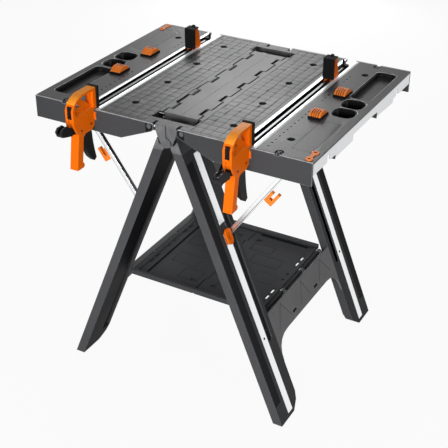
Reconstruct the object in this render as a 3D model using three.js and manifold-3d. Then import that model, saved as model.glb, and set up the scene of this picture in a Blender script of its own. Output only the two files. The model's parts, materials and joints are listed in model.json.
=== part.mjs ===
// Folding workbench: a split table top on two leg frames that close like scissors,
// with a fold-up shelf, folding wings on struts, two bar clamps, bench dogs and connector clips.
// Units are millimetres, X to the right, Y to the rear, Z up, standing on z = 0.

import * as THREE from "three";
import { mergeVertices } from "three/addons/utils/BufferGeometryUtils.js";
import Module from "manifold-3d";

const wasm = await Module();
wasm.setup();

// Overall sizes of the open bench
const TABLE_WIDTH = 787;
const TABLE_DEPTH = 635;
const TABLE_HEIGHT = 813;
const FIT = 0.3;
const HOLE_PLAY = 0.3;
const MOVING_PLAY = 0.5;

// Table top
const DECK_THICKNESS = 5;
const SKIRT_THICKNESS = 5;
const SKIRT_DEPTH = 60;
const SKIRT_KNEE_X = 130;
const RIB_THICKNESS = 3;
const RIB_DEPTH = 12;

// Edge trim, with its stepped lower edge as [place along the edge, drop below the table top]
const EDGE_TRIM_THICKNESS = 5.2;
const TRIM_DROP = 35;
const TRIM_STEPS = [
  [-190, TRIM_DROP],
  [-190, 43],
  [-80, 43],
  [-78, 27],
  [62, 27],
  [64, 40],
  [190, 46],
  [194, TRIM_DROP],
];

// Hinge between a head and its wing
const HINGE_X = 46.5;
const HINGE_DROP = 10;
const HINGE_SEAM_GAP = 3;
const HINGE_PIN_RADIUS = 3;
const NOSE_RADIUS = 14;
const TONGUE_RADIUS = 10;
const TONGUE_LENGTH = 40;
const TONGUE_COUNT = 5;
const TONGUE_END_INSET = 46;
const TONGUE_ROOT = 14;
const NOTCH_PLAY = 1;
const LUG_WALL = 2.4;

// Heads, the pair of moulded caps that the leg frames turn in
const HEAD_HALF_WIDTH = 30;
const HEAD_END_INSET = 5.5;
const HEAD_NECK_X = 24;
const HEAD_NECK_RISE = 3;
const HEAD_SHOULDER_DROP = 15;
const HEAD_FLANGE = 7;
const HEAD_ROOT_DEPTH = 24;
const EAR_THICKNESS = 13;
const EAR_RADIUS = 13;
const EAR_SKIN = 3;
const PIVOT_DROP = 47;
const PIVOT_ROD_RADIUS = 6;
const PIVOT_COVER = 1;

// Slots for lumber, across the heads and into the inner decks
const LUMBER_SLOT_WIDTH = 38;
const LUMBER_SLOT_INSET = 56.5;
const LUMBER_SLOT_HALF_LENGTH = 62;
const LUMBER_SLOT_DEPTH = 33;
const SLOT_WALL = 3;
const SLOT_FLOOR = 4;
const SLOT_FLOOR_GAP = 2;
const SLOT_APRON_DROP = 22.5;
const END_LUG_THICKNESS = 12;

// Legs
const LEG_TILT = THREE.MathUtils.degToRad(22);
const LEG_OUTER = 30;
const LEG_THICKNESS = 26;
const LEG_END_INSET = 9.5;
const LEG_WIDTH = 110;
const LEG_WALL = 4;
const LEG_SPARE = 60;
const FOOT_HEIGHT = 40;
const FOOT_CUT = 34;
const FOOT_TOE = 8;
const STRIP_WIDTH = 24;
const STRIP_INSET = 58;
const STRIP_THICKNESS = 2;
const STRIP_RECESS = 1.5;
const STRIP_START = 12;
const STRIP_HEAD_GAP = 52.3;
const LOCK_OFFSET = 0.7;
const LOCK_WIDTH = 25;
const LOCK_LENGTH = 44;
const LOCK_PROUD = 9;
const LOCK_BURIED = 7;
const LOCK_STEM_WIDTH = 14;
const LOCK_STEM_LENGTH = 32;
const LOCK_TRAVEL_ROOM = 2.4;
const LOCK_PLAY = 0.5;

// Struts that carry the wings; the lock buttons sit level with the struts' feet
const STRUT_LOCK_GAP = 6.8;
const STRUT_THICKNESS = 12;
const STRUT_WIDTH = 13;
const STRUT_TOP_INSET = 64.5;
const STRUT_TOP_DROP = 30;
const STRUT_FOOT_POSITION = 548;
const STRUT_FOOT_BURIED = 7;
const STRUT_SLOT_PLAY = 4;
const STRUT_SLOT_END_PLAY = 4;
const STRUT_EYE_RADIUS = 6;
const STRUT_LUG_THICKNESS = 3.5;
const STRUT_NOTCH_TOP_DROP = 18;
const HOOK_POSITION = 148;
const HOOK_REACH = 24;
const HOOK_LENGTH = 34;
const HOOK_BAR = 8;
const HOOK_SEAT = 6;

// Lower panels and shelf
const PANEL_THICKNESS = 5;
const PANEL_RISE = 15.2;
const PANEL_HEIGHT = 82;
const PANEL_ARCH_HEIGHT = 67;
const PANEL_ARCH_SHOULDER = 68;
const PANEL_HOOK_Y = 70;
const PANEL_HOOK_RISE = 21;
const PANEL_HOOK_WIDTH = 26;
const PANEL_HOOK_LENGTH = 8;
const TROUGH_FLOOR = 4;
const SHELF_HINGE_INSET = 0.855;
const SHELF_UNDERSIDE = 252;
const SHELF_AXIS_DROP = 0.4;
const SHELF_PLATE = 5;
const SHELF_SKIN = 1.5;
const SHELF_RIM_HEIGHT = 14;
const SHELF_RIM_WIDTH = 10;
const SHELF_BEAM_RISE = 3;
const SHELF_SIDE_GAP = 2;
const SHELF_END_GAP = 8;
const SHELF_KNUCKLE_RADIUS = 4.5;
const SHELF_AXLE_RADIUS = 3;
const SHELF_KNUCKLE_LENGTH = 104;
const SHELF_LUG_RADIUS = 6.4;
const SHELF_LUG_THICKNESS = 10;
const SHELF_LUG_INSET = 16;
const SHELF_LEDGE_GAP = 1.5;
const CENTRE_KNUCKLE_COUNT = 6;
const CENTRE_PIN_RADIUS = 2.2;
const SHELF_SLOT_INSET = 15;
const SHELF_SLOT_LENGTH = 24;
const SHELF_SLOT_WIDTH = 9;
const SHELF_SLOT_PITCH = 32;
const SHELF_WINDOW = 16;
const SHELF_WINDOW_X = 26;
const SHELF_WINDOW_Y = 132;

// Clamp tracks
const TRACK_INSET = 173.5;
const TRACK_HALF_WIDTH = 25.7;
const TRACK_HALF_OPENING = 13;
const TRACK_HALF_CHANNEL = 17;
const TRACK_FLANGE = 7;
const TRACK_WALL = 3;
const TRACK_HEIGHT = 30;

// Dog holes, trays, cups, sockets and clips in the decks, set out from the outer edge
const DOG_HOLE_RADIUS = 10;
const DOG_PITCH = 152.4;
const DOG_ROW_GAP = 78;
const DOG_ROW_INSET = 97.5;
const DOG_BOSS_WALL = 3.5;
const DOG_BOSS_DEPTH = 14;
const TRAY_INSET = 48.5;
const TRAY_WIDTH = 52;
const TRAY_Y = 170;
const TRAY_LENGTH = 196;
const TRAY_DEPTH = 17;
const TRAY_CORNER = 12;
const CUP_GAPS = [40, 100];
const CUP_WIDTH = 55;
const CUP_LENGTH = 54;
const CUP_CORNER = 20;
const CUP_DEPTH = 40;
const POCKET_WALL = 2.5;
const SOCKET_INSET = 91.5;
const SOCKET_RADIUS = 11;
const SOCKET_CORE = 6;
const SOCKET_DEPTH = 3.5;
const CLIP_INSET = 16.5;
const CLIP_END_INSET = 32.5;
const CLIP_HALF_SPAN = 16;
const CLIP_RADIUS = 9.5;
const CLIP_WAIST = 10;
const CLIP_THICKNESS = 5;
const CLIP_RECESS = 2.5;
const CLIP_BITE = 4;
const CLIP_BITE_OFFSET = 2;

// Bench dogs
const DOG_WIDTH = 30;
const DOG_LENGTH = 46;
const DOG_HEIGHT = 17;
const DOG_LIP = 3;
const DOG_HEEL = 6;
const DOG_STEM_LENGTH = 20;
const DOG_GROOVE_WIDTH = 2.6;
const DOG_GROOVE_DEPTH = 3;
const DOG_GROOVE_PITCH = 5.8;

// Bar clamps
const CLAMP_WIDTH = 24;
const CLAMP_DEPTH = 84;
const CLAMP_RISE = 56;
const CLAMP_POST = 12;
const CLAMP_WEB = 8;
const CLAMP_RIM = 6;
const CLAMP_PAD_INSET = 21;
const CLAMP_PAD_THICKNESS = 9;
const CLAMP_PAD_WIDTH = 31;
const CLAMP_PAD_RISE = 2;
const CLAMP_GUIDE_LENGTH = 42;
const CLAMP_GUIDE_GAP = 4;
const CLAMP_MOUTH_WIDTH = 13;
const CLAMP_MOUTH_DEPTH = 5.5;
const CLAMP_MOUTH = [2, 35];

// Clamp body outline: the heel as [forward of the rear face, above the table top], the grip as
// [behind the front face, above the table top], arch and web as [behind the front face, below the clamp's top]
const CLAMP_HEEL = [[0, -42], [12, -50]];
const CLAMP_GRIP = [
  [45, -50],
  [36, -56],
  [26, -121],
  [32, -130],
  [29, -137],
  [2, -137],
  [17, -45],
  [10, -35],
  [0, -16],
];
const CLAMP_ARCH = [[0, 31], [7, 17], [19, 8], [40, 0]];
const CLAMP_WEB_EDGE = [[10, 50], [7, 32], [13, 20], [23, 13], [41, CLAMP_RIM]];
const CLAMP_WINDOWS = [
  [[79, 10], [78, 40], [37, 9]],
  [[27, 18], [46, 36], [22, 39], [15.5, 31]],
];

// Trigger and release lever of a clamp, each drawn about its own pivot
const TRIGGER_WIDTH = 15;
const TRIGGER_INSET = 28;
const TRIGGER_BAR_GAP = 15;
const TRIGGER_SHOULDER = 6;
const TRIGGER_HALF = 12;
const TRIGGER_BACK = [[21, -24], [23, -64], [34, -102]];
const TRIGGER_TOE = [[24, -108], [8, -92]];
const TRIGGER_FACE = [[-13, -62], [-13, -24]];
const TRIGGER_ROOM = { front: 20, rear: 24, up: 11, down: 41 };
const LEVER_WIDTH = 13;
const LEVER_PAD_WIDTH = 20;
const LEVER_PAD_START = 19.5;
const LEVER_INSET = 16;
const LEVER_BAR_GAP = 13;
const LEVER_HUB = 8;
const LEVER_SIDE = [[-16, 8], [-22, 14], [-38, 27], [-56, 27], [-64, 18], [-58, 4], [-44, 0], [-18, -7]];
const LEVER_DROOP = { right: THREE.MathUtils.degToRad(12), left: 0 };
const LEVER_ROOM = { rear: 11, up: 10, down: 12 };

// Clamp bar and rear jaw
const BAR_WIDTH = 7;
const BAR_HEIGHT = 17;
const BAR_DROP = 2;
const BAR_FRONT_INSET = 20;
const JAW_FACE = { right: 150, left: 166 };
const JAW_DEPTH = 36;
const JAW_TOP_DEPTH = 20;
const JAW_TOE = 7;
const JAW_NECK = 2;
const JAW_CAP = 3;
const JAW_POST = 8;
const JAW_POST_RISE = 7;

// Places worked out from the sizes above
const HALF_WIDTH = TABLE_WIDTH / 2;
const HALF_DEPTH = TABLE_DEPTH / 2;
const DECK_UNDERSIDE = TABLE_HEIGHT - DECK_THICKNESS;
const DECK_HALF_DEPTH = HALF_DEPTH - SKIRT_THICKNESS - FIT;
const SEAM_X = HINGE_X + HINGE_SEAM_GAP;
const TRIM_X = HALF_WIDTH - EDGE_TRIM_THICKNESS;
const DECK_RIB_X = TRIM_X - FIT;
const HINGE_HEIGHT = TABLE_HEIGHT - HINGE_DROP;
const LUG_RADIUS = HINGE_PIN_RADIUS + HOLE_PLAY + LUG_WALL;
const LUMBER_SLOT_Y = HALF_DEPTH - LUMBER_SLOT_INSET;
const SLOT_NEAR = LUMBER_SLOT_Y - LUMBER_SLOT_WIDTH / 2;
const SLOT_FAR = LUMBER_SLOT_Y + LUMBER_SLOT_WIDTH / 2;
const TONGUE_PITCH = (2 * (SLOT_NEAR - TONGUE_END_INSET)) / (TONGUE_COUNT - 1);
const PIVOT_HEIGHT = TABLE_HEIGHT - PIVOT_DROP;
const HEAD_HALF_DEPTH = HALF_DEPTH - HEAD_END_INSET;
const HEAD_ROOT = PIVOT_HEIGHT - HEAD_ROOT_DEPTH;
const LEG_INNER = LEG_OUTER - LEG_THICKNESS;
const LEG_OUTSIDE_Y = HALF_DEPTH - LEG_END_INSET;
const LEG_INSIDE_Y = LEG_OUTSIDE_Y - LEG_WIDTH;
const FLOOR_REACH = (PIVOT_HEIGHT + LEG_OUTER * Math.sin(LEG_TILT)) / Math.cos(LEG_TILT);
const STRIP_Y = LEG_OUTSIDE_Y - STRIP_INSET;
const STRIP_END = FLOOR_REACH - STRIP_HEAD_GAP;
const LOCK_Y = STRIP_Y - LOCK_OFFSET;
const LOCK_POSITION = STRUT_FOOT_POSITION;
const STRUT_Y = LOCK_Y - LOCK_WIDTH / 2 - STRUT_LOCK_GAP - STRUT_THICKNESS / 2;
const STRUT_TOP_X = HALF_WIDTH - STRUT_TOP_INSET;
const PANEL_TOP = SHELF_UNDERSIDE / Math.cos(LEG_TILT) + PANEL_RISE;
const PANEL_BOTTOM = PANEL_TOP - PANEL_HEIGHT;
const PANEL_FOOT = PANEL_BOTTOM - PANEL_ARCH_HEIGHT;
const PANEL_ARCH_Y = LEG_INSIDE_Y - PANEL_ARCH_SHOULDER;
const PANEL_HOOK_POSITION = PANEL_BOTTOM + PANEL_HOOK_RISE;
const SHELF_AXIS = SHELF_UNDERSIDE - SHELF_AXIS_DROP;
const SHELF_HINGE_X = legFaceX(LEG_INNER, SHELF_AXIS) + SHELF_HINGE_INSET;
const SHELF_END_X = SHELF_HINGE_X - SHELF_END_GAP;
const SHELF_SLOT_X = SHELF_END_X - SHELF_SLOT_INSET;
const SHELF_HALF_DEPTH = LEG_INSIDE_Y - SHELF_SIDE_GAP;
const SHELF_LUG_PITCH = (SHELF_HALF_DEPTH - SHELF_LUG_INSET) / 1.5;
const CENTRE_KNUCKLE_PITCH = (2 * (SHELF_HALF_DEPTH - SHELF_LUG_INSET)) / CENTRE_KNUCKLE_COUNT;
const LEDGE_HEIGHT = SHELF_AXIS - SHELF_KNUCKLE_RADIUS - SHELF_LEDGE_GAP;
const TRACK_X = HALF_WIDTH - TRACK_INSET;
const DOG_ROW_INNER = TRACK_X - DOG_ROW_GAP;
const DOG_ROW_OUTER = HALF_WIDTH - DOG_ROW_INSET;
const DOG_ROWS = [-1.5, -0.5, 0.5, 1.5].map((step) => step * DOG_PITCH);
const TRAY_X = HALF_WIDTH - TRAY_INSET;
const CUP_Y = CUP_GAPS.map((gap) => TRAY_Y - TRAY_LENGTH / 2 - gap);
const SOCKET_X = HALF_WIDTH - SOCKET_INSET;
const SOCKET_Y = HALF_DEPTH - CLIP_HALF_SPAN;
const CLIP_X = HALF_WIDTH - CLIP_INSET;
const CLIP_Y = CLIP_END_INSET - HALF_DEPTH;
const CLAMP_REAR = HALF_DEPTH + MOVING_PLAY;
const CLAMP_FRONT = CLAMP_REAR + CLAMP_DEPTH;
const CLAMP_TOP = TABLE_HEIGHT + CLAMP_RISE;
const CLAMP_PAD_FACE = CLAMP_REAR - CLAMP_PAD_INSET;
const CLAMP_SHOE_HALF = TRACK_HALF_CHANNEL - 2 * MOVING_PLAY;
const BAR_TOP = TABLE_HEIGHT - BAR_DROP;
const BAR_BOTTOM = BAR_TOP - BAR_HEIGHT;
const TRIGGER_Y = -CLAMP_REAR - TRIGGER_INSET;
const TRIGGER_HEIGHT = BAR_BOTTOM - TRIGGER_BAR_GAP;
const LEVER_Y = LEVER_INSET - CLAMP_FRONT;
const LEVER_HEIGHT = BAR_BOTTOM - LEVER_BAR_GAP;
const SHOE_SPAN = [TABLE_HEIGHT - TRACK_HEIGHT + TRACK_WALL + FIT, TABLE_HEIGHT - TRACK_FLANGE - FIT];

// Finishes
const FINISHES = {
  moulded: { color: 0x3b3c3f, roughness: 0.55, metalness: 0 },
  black: { color: 0x161618, roughness: 0.6, metalness: 0 },
  orange: { color: 0xef6a10, roughness: 0.45, metalness: 0 },
  aluminium: { color: 0xd8dadd, roughness: 0.32, metalness: 1 },
  steel: { color: 0xaeb1b5, roughness: 0.3, metalness: 1 },
};

// Closed shapes from outlines. An outline is drawn in the plane across the axis it is pulled along.
const X_AXIS = new THREE.Vector3(1, 0, 0);
const Y_AXIS = new THREE.Vector3(0, 1, 0);
const Z_AXIS = new THREE.Vector3(0, 0, 1);
const PULL_FRAMES = {
  x: new THREE.Matrix4().makeBasis(Y_AXIS, Z_AXIS, X_AXIS),
  y: new THREE.Matrix4().makeBasis(X_AXIS, Z_AXIS, Y_AXIS.clone().negate()),
  z: new THREE.Matrix4(),
};
const ROUND_STEPS = 5;

function outline(points) {
  return new THREE.Shape(points.map(([u, v]) => new THREE.Vector2(u, v)));
}

function disc(u, v, radius) {
  return new THREE.Shape().absarc(u, v, radius, 0, Math.PI * 2);
}

function roundedRectangle(u, v, width, height, corner) {
  const [w, h] = [width / 2 - corner, height / 2 - corner];
  const shape = new THREE.Shape();
  shape.absarc(u + w, v + h, corner, 0, Math.PI / 2);
  shape.absarc(u - w, v + h, corner, Math.PI / 2, Math.PI);
  shape.absarc(u - w, v - h, corner, Math.PI, Math.PI * 1.5);
  shape.absarc(u + w, v - h, corner, Math.PI * 1.5, Math.PI * 2);
  return shape;
}

function pull(axis, shape, from, to, steps = ROUND_STEPS) {
  const options = { depth: to - from, bevelEnabled: false, curveSegments: steps };
  const geometry = new THREE.ExtrudeGeometry(shape, options).applyMatrix4(PULL_FRAMES[axis]);
  const start = axis === "y" ? to : from;
  const offset = { x: [start, 0, 0], y: [0, start, 0], z: [0, 0, start] }[axis];
  return geometry.translate(...offset);
}

function box([x0, x1], [y0, y1], [z0, z1]) {
  const geometry = new THREE.BoxGeometry(x1 - x0, y1 - y0, z1 - z0);
  return geometry.translate((x0 + x1) / 2, (y0 + y1) / 2, (z0 + z1) / 2);
}

function rod(axis, [u, v], radius, [from, to], steps = ROUND_STEPS) {
  return pull(axis, disc(u, v, radius), from, to, steps);
}

// Booleans on closed shapes
function solid(shape) {
  if (!shape.isBufferGeometry) {
    return shape;
  }
  const bare = shape.clone();
  bare.deleteAttribute("normal");
  bare.deleteAttribute("uv");
  const merged = mergeVertices(bare, 1e-4);
  const vertProperties = new Float32Array(merged.attributes.position.array);
  const triVerts = new Uint32Array(merged.index.array);
  return new wasm.Manifold(new wasm.Mesh({ numProp: 3, vertProperties, triVerts }));
}

function join(first, ...rest) {
  return rest.reduce((whole, next) => whole.add(solid(next)), solid(first));
}

function cut(first, ...tools) {
  return tools.reduce((left, tool) => left.subtract(solid(tool)), solid(first));
}

function shared(first, second) {
  return solid(first).intersect(solid(second));
}

function surface(shape) {
  const { vertProperties, triVerts } = solid(shape).getMesh();
  const geometry = new THREE.BufferGeometry();
  geometry.setAttribute("position", new THREE.BufferAttribute(new Float32Array(vertProperties), 3));
  geometry.setIndex(new THREE.BufferAttribute(new Uint32Array(triVerts), 1));
  return geometry;
}

function placed(shape, matrix) {
  return surface(shape).applyMatrix4(matrix);
}

function piece(name, shape, finish) {
  const geometry = surface(shape);
  geometry.computeVertexNormals();
  const mesh = new THREE.Mesh(geometry, new THREE.MeshStandardMaterial(FINISHES[finish]));
  mesh.name = name;
  return mesh;
}

// A stretch of Y on the front (end -1) or rear (end +1) of the bench
function stretch(end, near, far) {
  return end > 0 ? [near, far] : [-far, -near];
}

function bothEnds(make) {
  return [make(-1), make(1)];
}

// The leg's own frame: x outwards from the pivot, z up along the leg
const LEG_FRAME = new THREE.Matrix4()
  .makeTranslation(0, 0, PIVOT_HEIGHT)
  .multiply(new THREE.Matrix4().makeRotationY(-LEG_TILT));

function tilted(geometry) {
  return geometry.applyMatrix4(LEG_FRAME);
}

function legPoint(outward, along) {
  const point = new THREE.Vector3(outward, 0, along - FLOOR_REACH).applyMatrix4(LEG_FRAME);
  return [point.x, point.z];
}

// Length along the leg's outer face, counted up from the floor, in the leg's own z
function alongLeg(from, to) {
  return [from - FLOOR_REACH, to - FLOOR_REACH];
}

function legFaceX(offset, height) {
  return offset / Math.cos(LEG_TILT) + (PIVOT_HEIGHT - height) * Math.tan(LEG_TILT);
}

// Struts: their top eye on the wing and their foot in the leg slot, open and folded
const STRUT_TOP = [STRUT_TOP_X, TABLE_HEIGHT - STRUT_TOP_DROP];
const STRUT_FOOT = legPoint(LEG_OUTER - STRUT_FOOT_BURIED, STRUT_FOOT_POSITION);
const STRUT_LENGTH = Math.hypot(STRUT_TOP[0] - STRUT_FOOT[0], STRUT_TOP[1] - STRUT_FOOT[1]);
const STRUT_SLOT = foldedStrutSlot();

function foldedStrutSlot() {
  const hinge = new THREE.Vector3(HINGE_X, 0, HINGE_HEIGHT).applyMatrix4(LEG_FRAME.clone().invert());
  const topOutward = hinge.x + HINGE_DROP - STRUT_TOP_DROP;
  const topAlong = hinge.z - (STRUT_TOP_X - HINGE_X) + FLOOR_REACH;
  const aside = topOutward - (LEG_OUTER - STRUT_FOOT_BURIED);
  const footAlong = topAlong - Math.sqrt(STRUT_LENGTH ** 2 - aside ** 2);
  const endRoom = STRUT_WIDTH / 2 + STRUT_SLOT_END_PLAY;
  return [footAlong - endRoom, Math.max(topAlong, STRUT_FOOT_POSITION) + 3 * endRoom];
}

// Head: top flange and block over the pivot, hinge lugs for the wing, and roots for the legs
function tongueCentres() {
  const first = -(TONGUE_COUNT - 1) / 2;
  return Array.from({ length: TONGUE_COUNT }, (_, i) => (first + i) * TONGUE_PITCH);
}

function makeHead() {
  const half = HEAD_HALF_DEPTH;
  const flangeZ = TABLE_HEIGHT - HEAD_FLANGE;
  const blockZ = PIVOT_HEIGHT + PIVOT_ROD_RADIUS + PIVOT_COVER;
  const neckZ = blockZ + HEAD_NECK_RISE;
  const block = outline([
    [FIT, blockZ],
    [HEAD_NECK_X, blockZ],
    [HEAD_NECK_X, neckZ],
    [HEAD_HALF_WIDTH, TABLE_HEIGHT - HEAD_SHOULDER_DROP],
    [HEAD_HALF_WIDTH, TABLE_HEIGHT],
    [FIT, TABLE_HEIGHT],
  ]);
  const lug = (y) => join(
    box([HEAD_HALF_WIDTH - 1, HINGE_X], y, [HINGE_HEIGHT - LUG_RADIUS, flangeZ + 1]),
    rod("y", [HINGE_X, HINGE_HEIGHT], LUG_RADIUS, y),
    box([HEAD_HALF_WIDTH - 1, SEAM_X - FIT], y, [flangeZ, TABLE_HEIGHT]),
  );
  const root = outline([
    [legFaceX(LEG_INNER, HEAD_ROOT), HEAD_ROOT],
    [legFaceX(LEG_OUTER, HEAD_ROOT), HEAD_ROOT],
    [legFaceX(LEG_OUTER, neckZ), neckZ],
    [legFaceX(LEG_INNER, PIVOT_HEIGHT), neckZ],
    [legFaceX(LEG_INNER, PIVOT_HEIGHT), PIVOT_HEIGHT],
  ]);
  const ear = (y) => join(
    rod("y", [0, PIVOT_HEIGHT], EAR_RADIUS, y, 8),
    box([FIT, HEAD_NECK_X], y, [PIVOT_HEIGHT - EAR_RADIUS + EAR_SKIN, neckZ]),
  );
  const earNear = half - EAR_THICKNESS;
  const innerEar = stretch(-1, earNear - EAR_THICKNESS - FIT, earNear - FIT);
  const outerEar = stretch(1, earNear, half);
  const earRoom = (y) => rod("y", [0, PIVOT_HEIGHT], EAR_RADIUS + MOVING_PLAY, y, 8);
  const roots = bothEnds((end) => pull("y", root, ...stretch(end, LEG_INSIDE_Y, LEG_OUTSIDE_Y)));
  const tongueRoom = tongueCentres().map((y) => box(
    [HINGE_X - TONGUE_RADIUS - NOTCH_PLAY, HINGE_X + LUG_RADIUS + NOTCH_PLAY],
    [y - TONGUE_LENGTH / 2 - NOTCH_PLAY, y + TONGUE_LENGTH / 2 + NOTCH_PLAY],
    [HINGE_HEIGHT - TONGUE_RADIUS - 9, TABLE_HEIGHT + 1],
  ));
  const slotBase = TABLE_HEIGHT - LUMBER_SLOT_DEPTH;
  const slots = bothEnds((end) => box(
    [-1, LUMBER_SLOT_HALF_LENGTH],
    stretch(end, SLOT_NEAR, SLOT_FAR),
    [slotBase, TABLE_HEIGHT + 1],
  ));
  const slotFloors = bothEnds((end) => join(
    box(
      [HEAD_NECK_X - 1, LUMBER_SLOT_HALF_LENGTH - SLOT_FLOOR_GAP],
      stretch(end, SLOT_NEAR - SLOT_WALL, SLOT_FAR),
      [slotBase - SLOT_FLOOR, slotBase],
    ),
    box(
      [HEAD_NECK_X - 1, SEAM_X],
      stretch(end, SLOT_NEAR - SLOT_WALL, SLOT_NEAR),
      [slotBase - SLOT_FLOOR, HINGE_HEIGHT - LUG_RADIUS + 1],
    ),
  ));
  const body = join(
    cut(
      join(pull("y", block, -half, half), ...roots),
      earRoom(stretch(-1, earNear - FIT, half + FIT)),
      earRoom(stretch(1, earNear - EAR_THICKNESS - 2 * FIT, earNear)),
    ),
    ...slotFloors,
    lug([-SLOT_NEAR, SLOT_NEAR]),
    ...bothEnds((end) => lug(stretch(end, SLOT_FAR - 1, SLOT_FAR + END_LUG_THICKNESS))),
    ear(innerEar),
    ear(outerEar),
  );
  const pinBore = rod("y", [HINGE_X, HINGE_HEIGHT], HINGE_PIN_RADIUS + HOLE_PLAY, [-half - 1, half + 1]);
  const rodBore = rod("y", [0, PIVOT_HEIGHT], PIVOT_ROD_RADIUS + HOLE_PLAY, [-half, half - EAR_SKIN], 8);
  return cut(body, ...tongueRoom, ...slots, pinBore, rodBore);
}

function makeHingePin() {
  const half = SLOT_NEAR - SLOT_WALL + 1;
  return rod("y", [HINGE_X, HINGE_HEIGHT], HINGE_PIN_RADIUS, [-half, half]);
}

// Legs: moulded box sections, open on the inner side along the strut slot
function makeLeg(end) {
  const whole = [-FLOOR_REACH - LEG_SPARE, 0];
  const past = [whole[0] - 1, whole[1] + 1];
  const hollowEdge = STRUT_Y + STRUT_THICKNESS / 2 + STRUT_SLOT_PLAY + RIB_THICKNESS;
  const channel = cut(
    tilted(box([LEG_INNER, LEG_OUTER], stretch(end, LEG_INSIDE_Y, LEG_OUTSIDE_Y), whole)),
    tilted(box(
      [LEG_INNER + LEG_WALL, LEG_OUTER - LEG_WALL],
      stretch(end, LEG_INSIDE_Y + LEG_WALL, LEG_OUTSIDE_Y - LEG_WALL),
      past,
    )),
    tilted(box([LEG_INNER - 1, LEG_OUTER - LEG_WALL], stretch(end, LEG_INSIDE_Y + LEG_WALL, hollowEdge), past)),
  );
  const slotHalf = STRUT_THICKNESS / 2 + STRUT_SLOT_PLAY;
  const slot = tilted(pull(
    "x",
    roundedRectangle(
      end * STRUT_Y,
      (STRUT_SLOT[0] + STRUT_SLOT[1]) / 2 - FLOOR_REACH,
      slotHalf * 2,
      STRUT_SLOT[1] - STRUT_SLOT[0],
      slotHalf - 1,
    ),
    LEG_OUTER - LEG_WALL - 1,
    LEG_OUTER + 1,
    3,
  ));
  const lockBore = tilted(pull("x", lockStem(end, LOCK_PLAY), LEG_OUTER - LEG_WALL - 1, LEG_OUTER + 1, 3));
  const above = box([-TABLE_WIDTH, TABLE_WIDTH], [-TABLE_DEPTH, TABLE_DEPTH], [HEAD_ROOT - FIT, TABLE_HEIGHT]);
  const below = box([0, TABLE_WIDTH], [-TABLE_DEPTH, TABLE_DEPTH], [-TABLE_HEIGHT, FOOT_HEIGHT]);
  const shaft = cut(channel, slot, lockBore, above, below);
  return cut(join(shaft, makeFoot(end)), stripRoom(end));
}

function makeFoot(end) {
  const side = outline([
    [end * LEG_OUTSIDE_Y, 0],
    [end * (LEG_INSIDE_Y + FOOT_CUT), 0],
    [end * (LEG_INSIDE_Y + FOOT_TOE), FOOT_HEIGHT / 2],
    [end * LEG_INSIDE_Y, FOOT_HEIGHT],
    [end * LEG_INSIDE_Y, FOOT_HEIGHT + LEG_WALL],
    [end * LEG_OUTSIDE_Y, FOOT_HEIGHT + LEG_WALL],
  ]);
  const stub = tilted(box(
    [LEG_INNER, LEG_OUTER],
    stretch(end, LEG_INSIDE_Y - 1, LEG_OUTSIDE_Y + 1),
    alongLeg(-LEG_SPARE, LEG_SPARE),
  ));
  return shared(stub, pull("x", side, 0, TABLE_WIDTH));
}

// A lock button's head stands over the leg's bright strip, its stem goes through strip and leg
function lockHead(end) {
  const middle = LOCK_POSITION - FLOOR_REACH;
  return roundedRectangle(end * LOCK_Y, middle, LOCK_WIDTH, LOCK_LENGTH, LOCK_WIDTH / 2 - 1);
}

function lockStem(end, play) {
  const middle = LOCK_POSITION - FLOOR_REACH;
  const [width, length] = [LOCK_STEM_WIDTH + 2 * play, LOCK_STEM_LENGTH + 2 * play];
  return roundedRectangle(end * LOCK_Y, middle, width, length, width / 2 - 1);
}

function makeLockButton(end) {
  const headFloor = LEG_OUTER + STRIP_THICKNESS - STRIP_RECESS + FIT + LOCK_TRAVEL_ROOM;
  return join(
    tilted(pull("x", lockHead(end), headFloor, LEG_OUTER + LOCK_PROUD, 3)),
    tilted(pull("x", lockStem(end, 0), LEG_OUTER - LOCK_BURIED, headFloor + 1, 3)),
  );
}

function stripBlock(end, play, [from, to]) {
  const half = STRIP_WIDTH / 2 + play;
  return tilted(box(
    [from, to],
    stretch(end, STRIP_Y - half, STRIP_Y + half),
    alongLeg(STRIP_START - play, STRIP_END + play),
  ));
}

function stripRoom(end) {
  return stripBlock(end, FIT, [LEG_OUTER - STRIP_RECESS, LEG_OUTER + LEG_WALL]);
}

function makeStrip(end) {
  const floor = LEG_OUTER - STRIP_RECESS + FIT;
  const bore = tilted(pull("x", lockStem(end, LOCK_PLAY), floor - 1, LEG_OUTER + LEG_WALL, 3));
  return cut(stripBlock(end, 0, [floor, floor + STRIP_THICKNESS]), bore);
}

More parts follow.
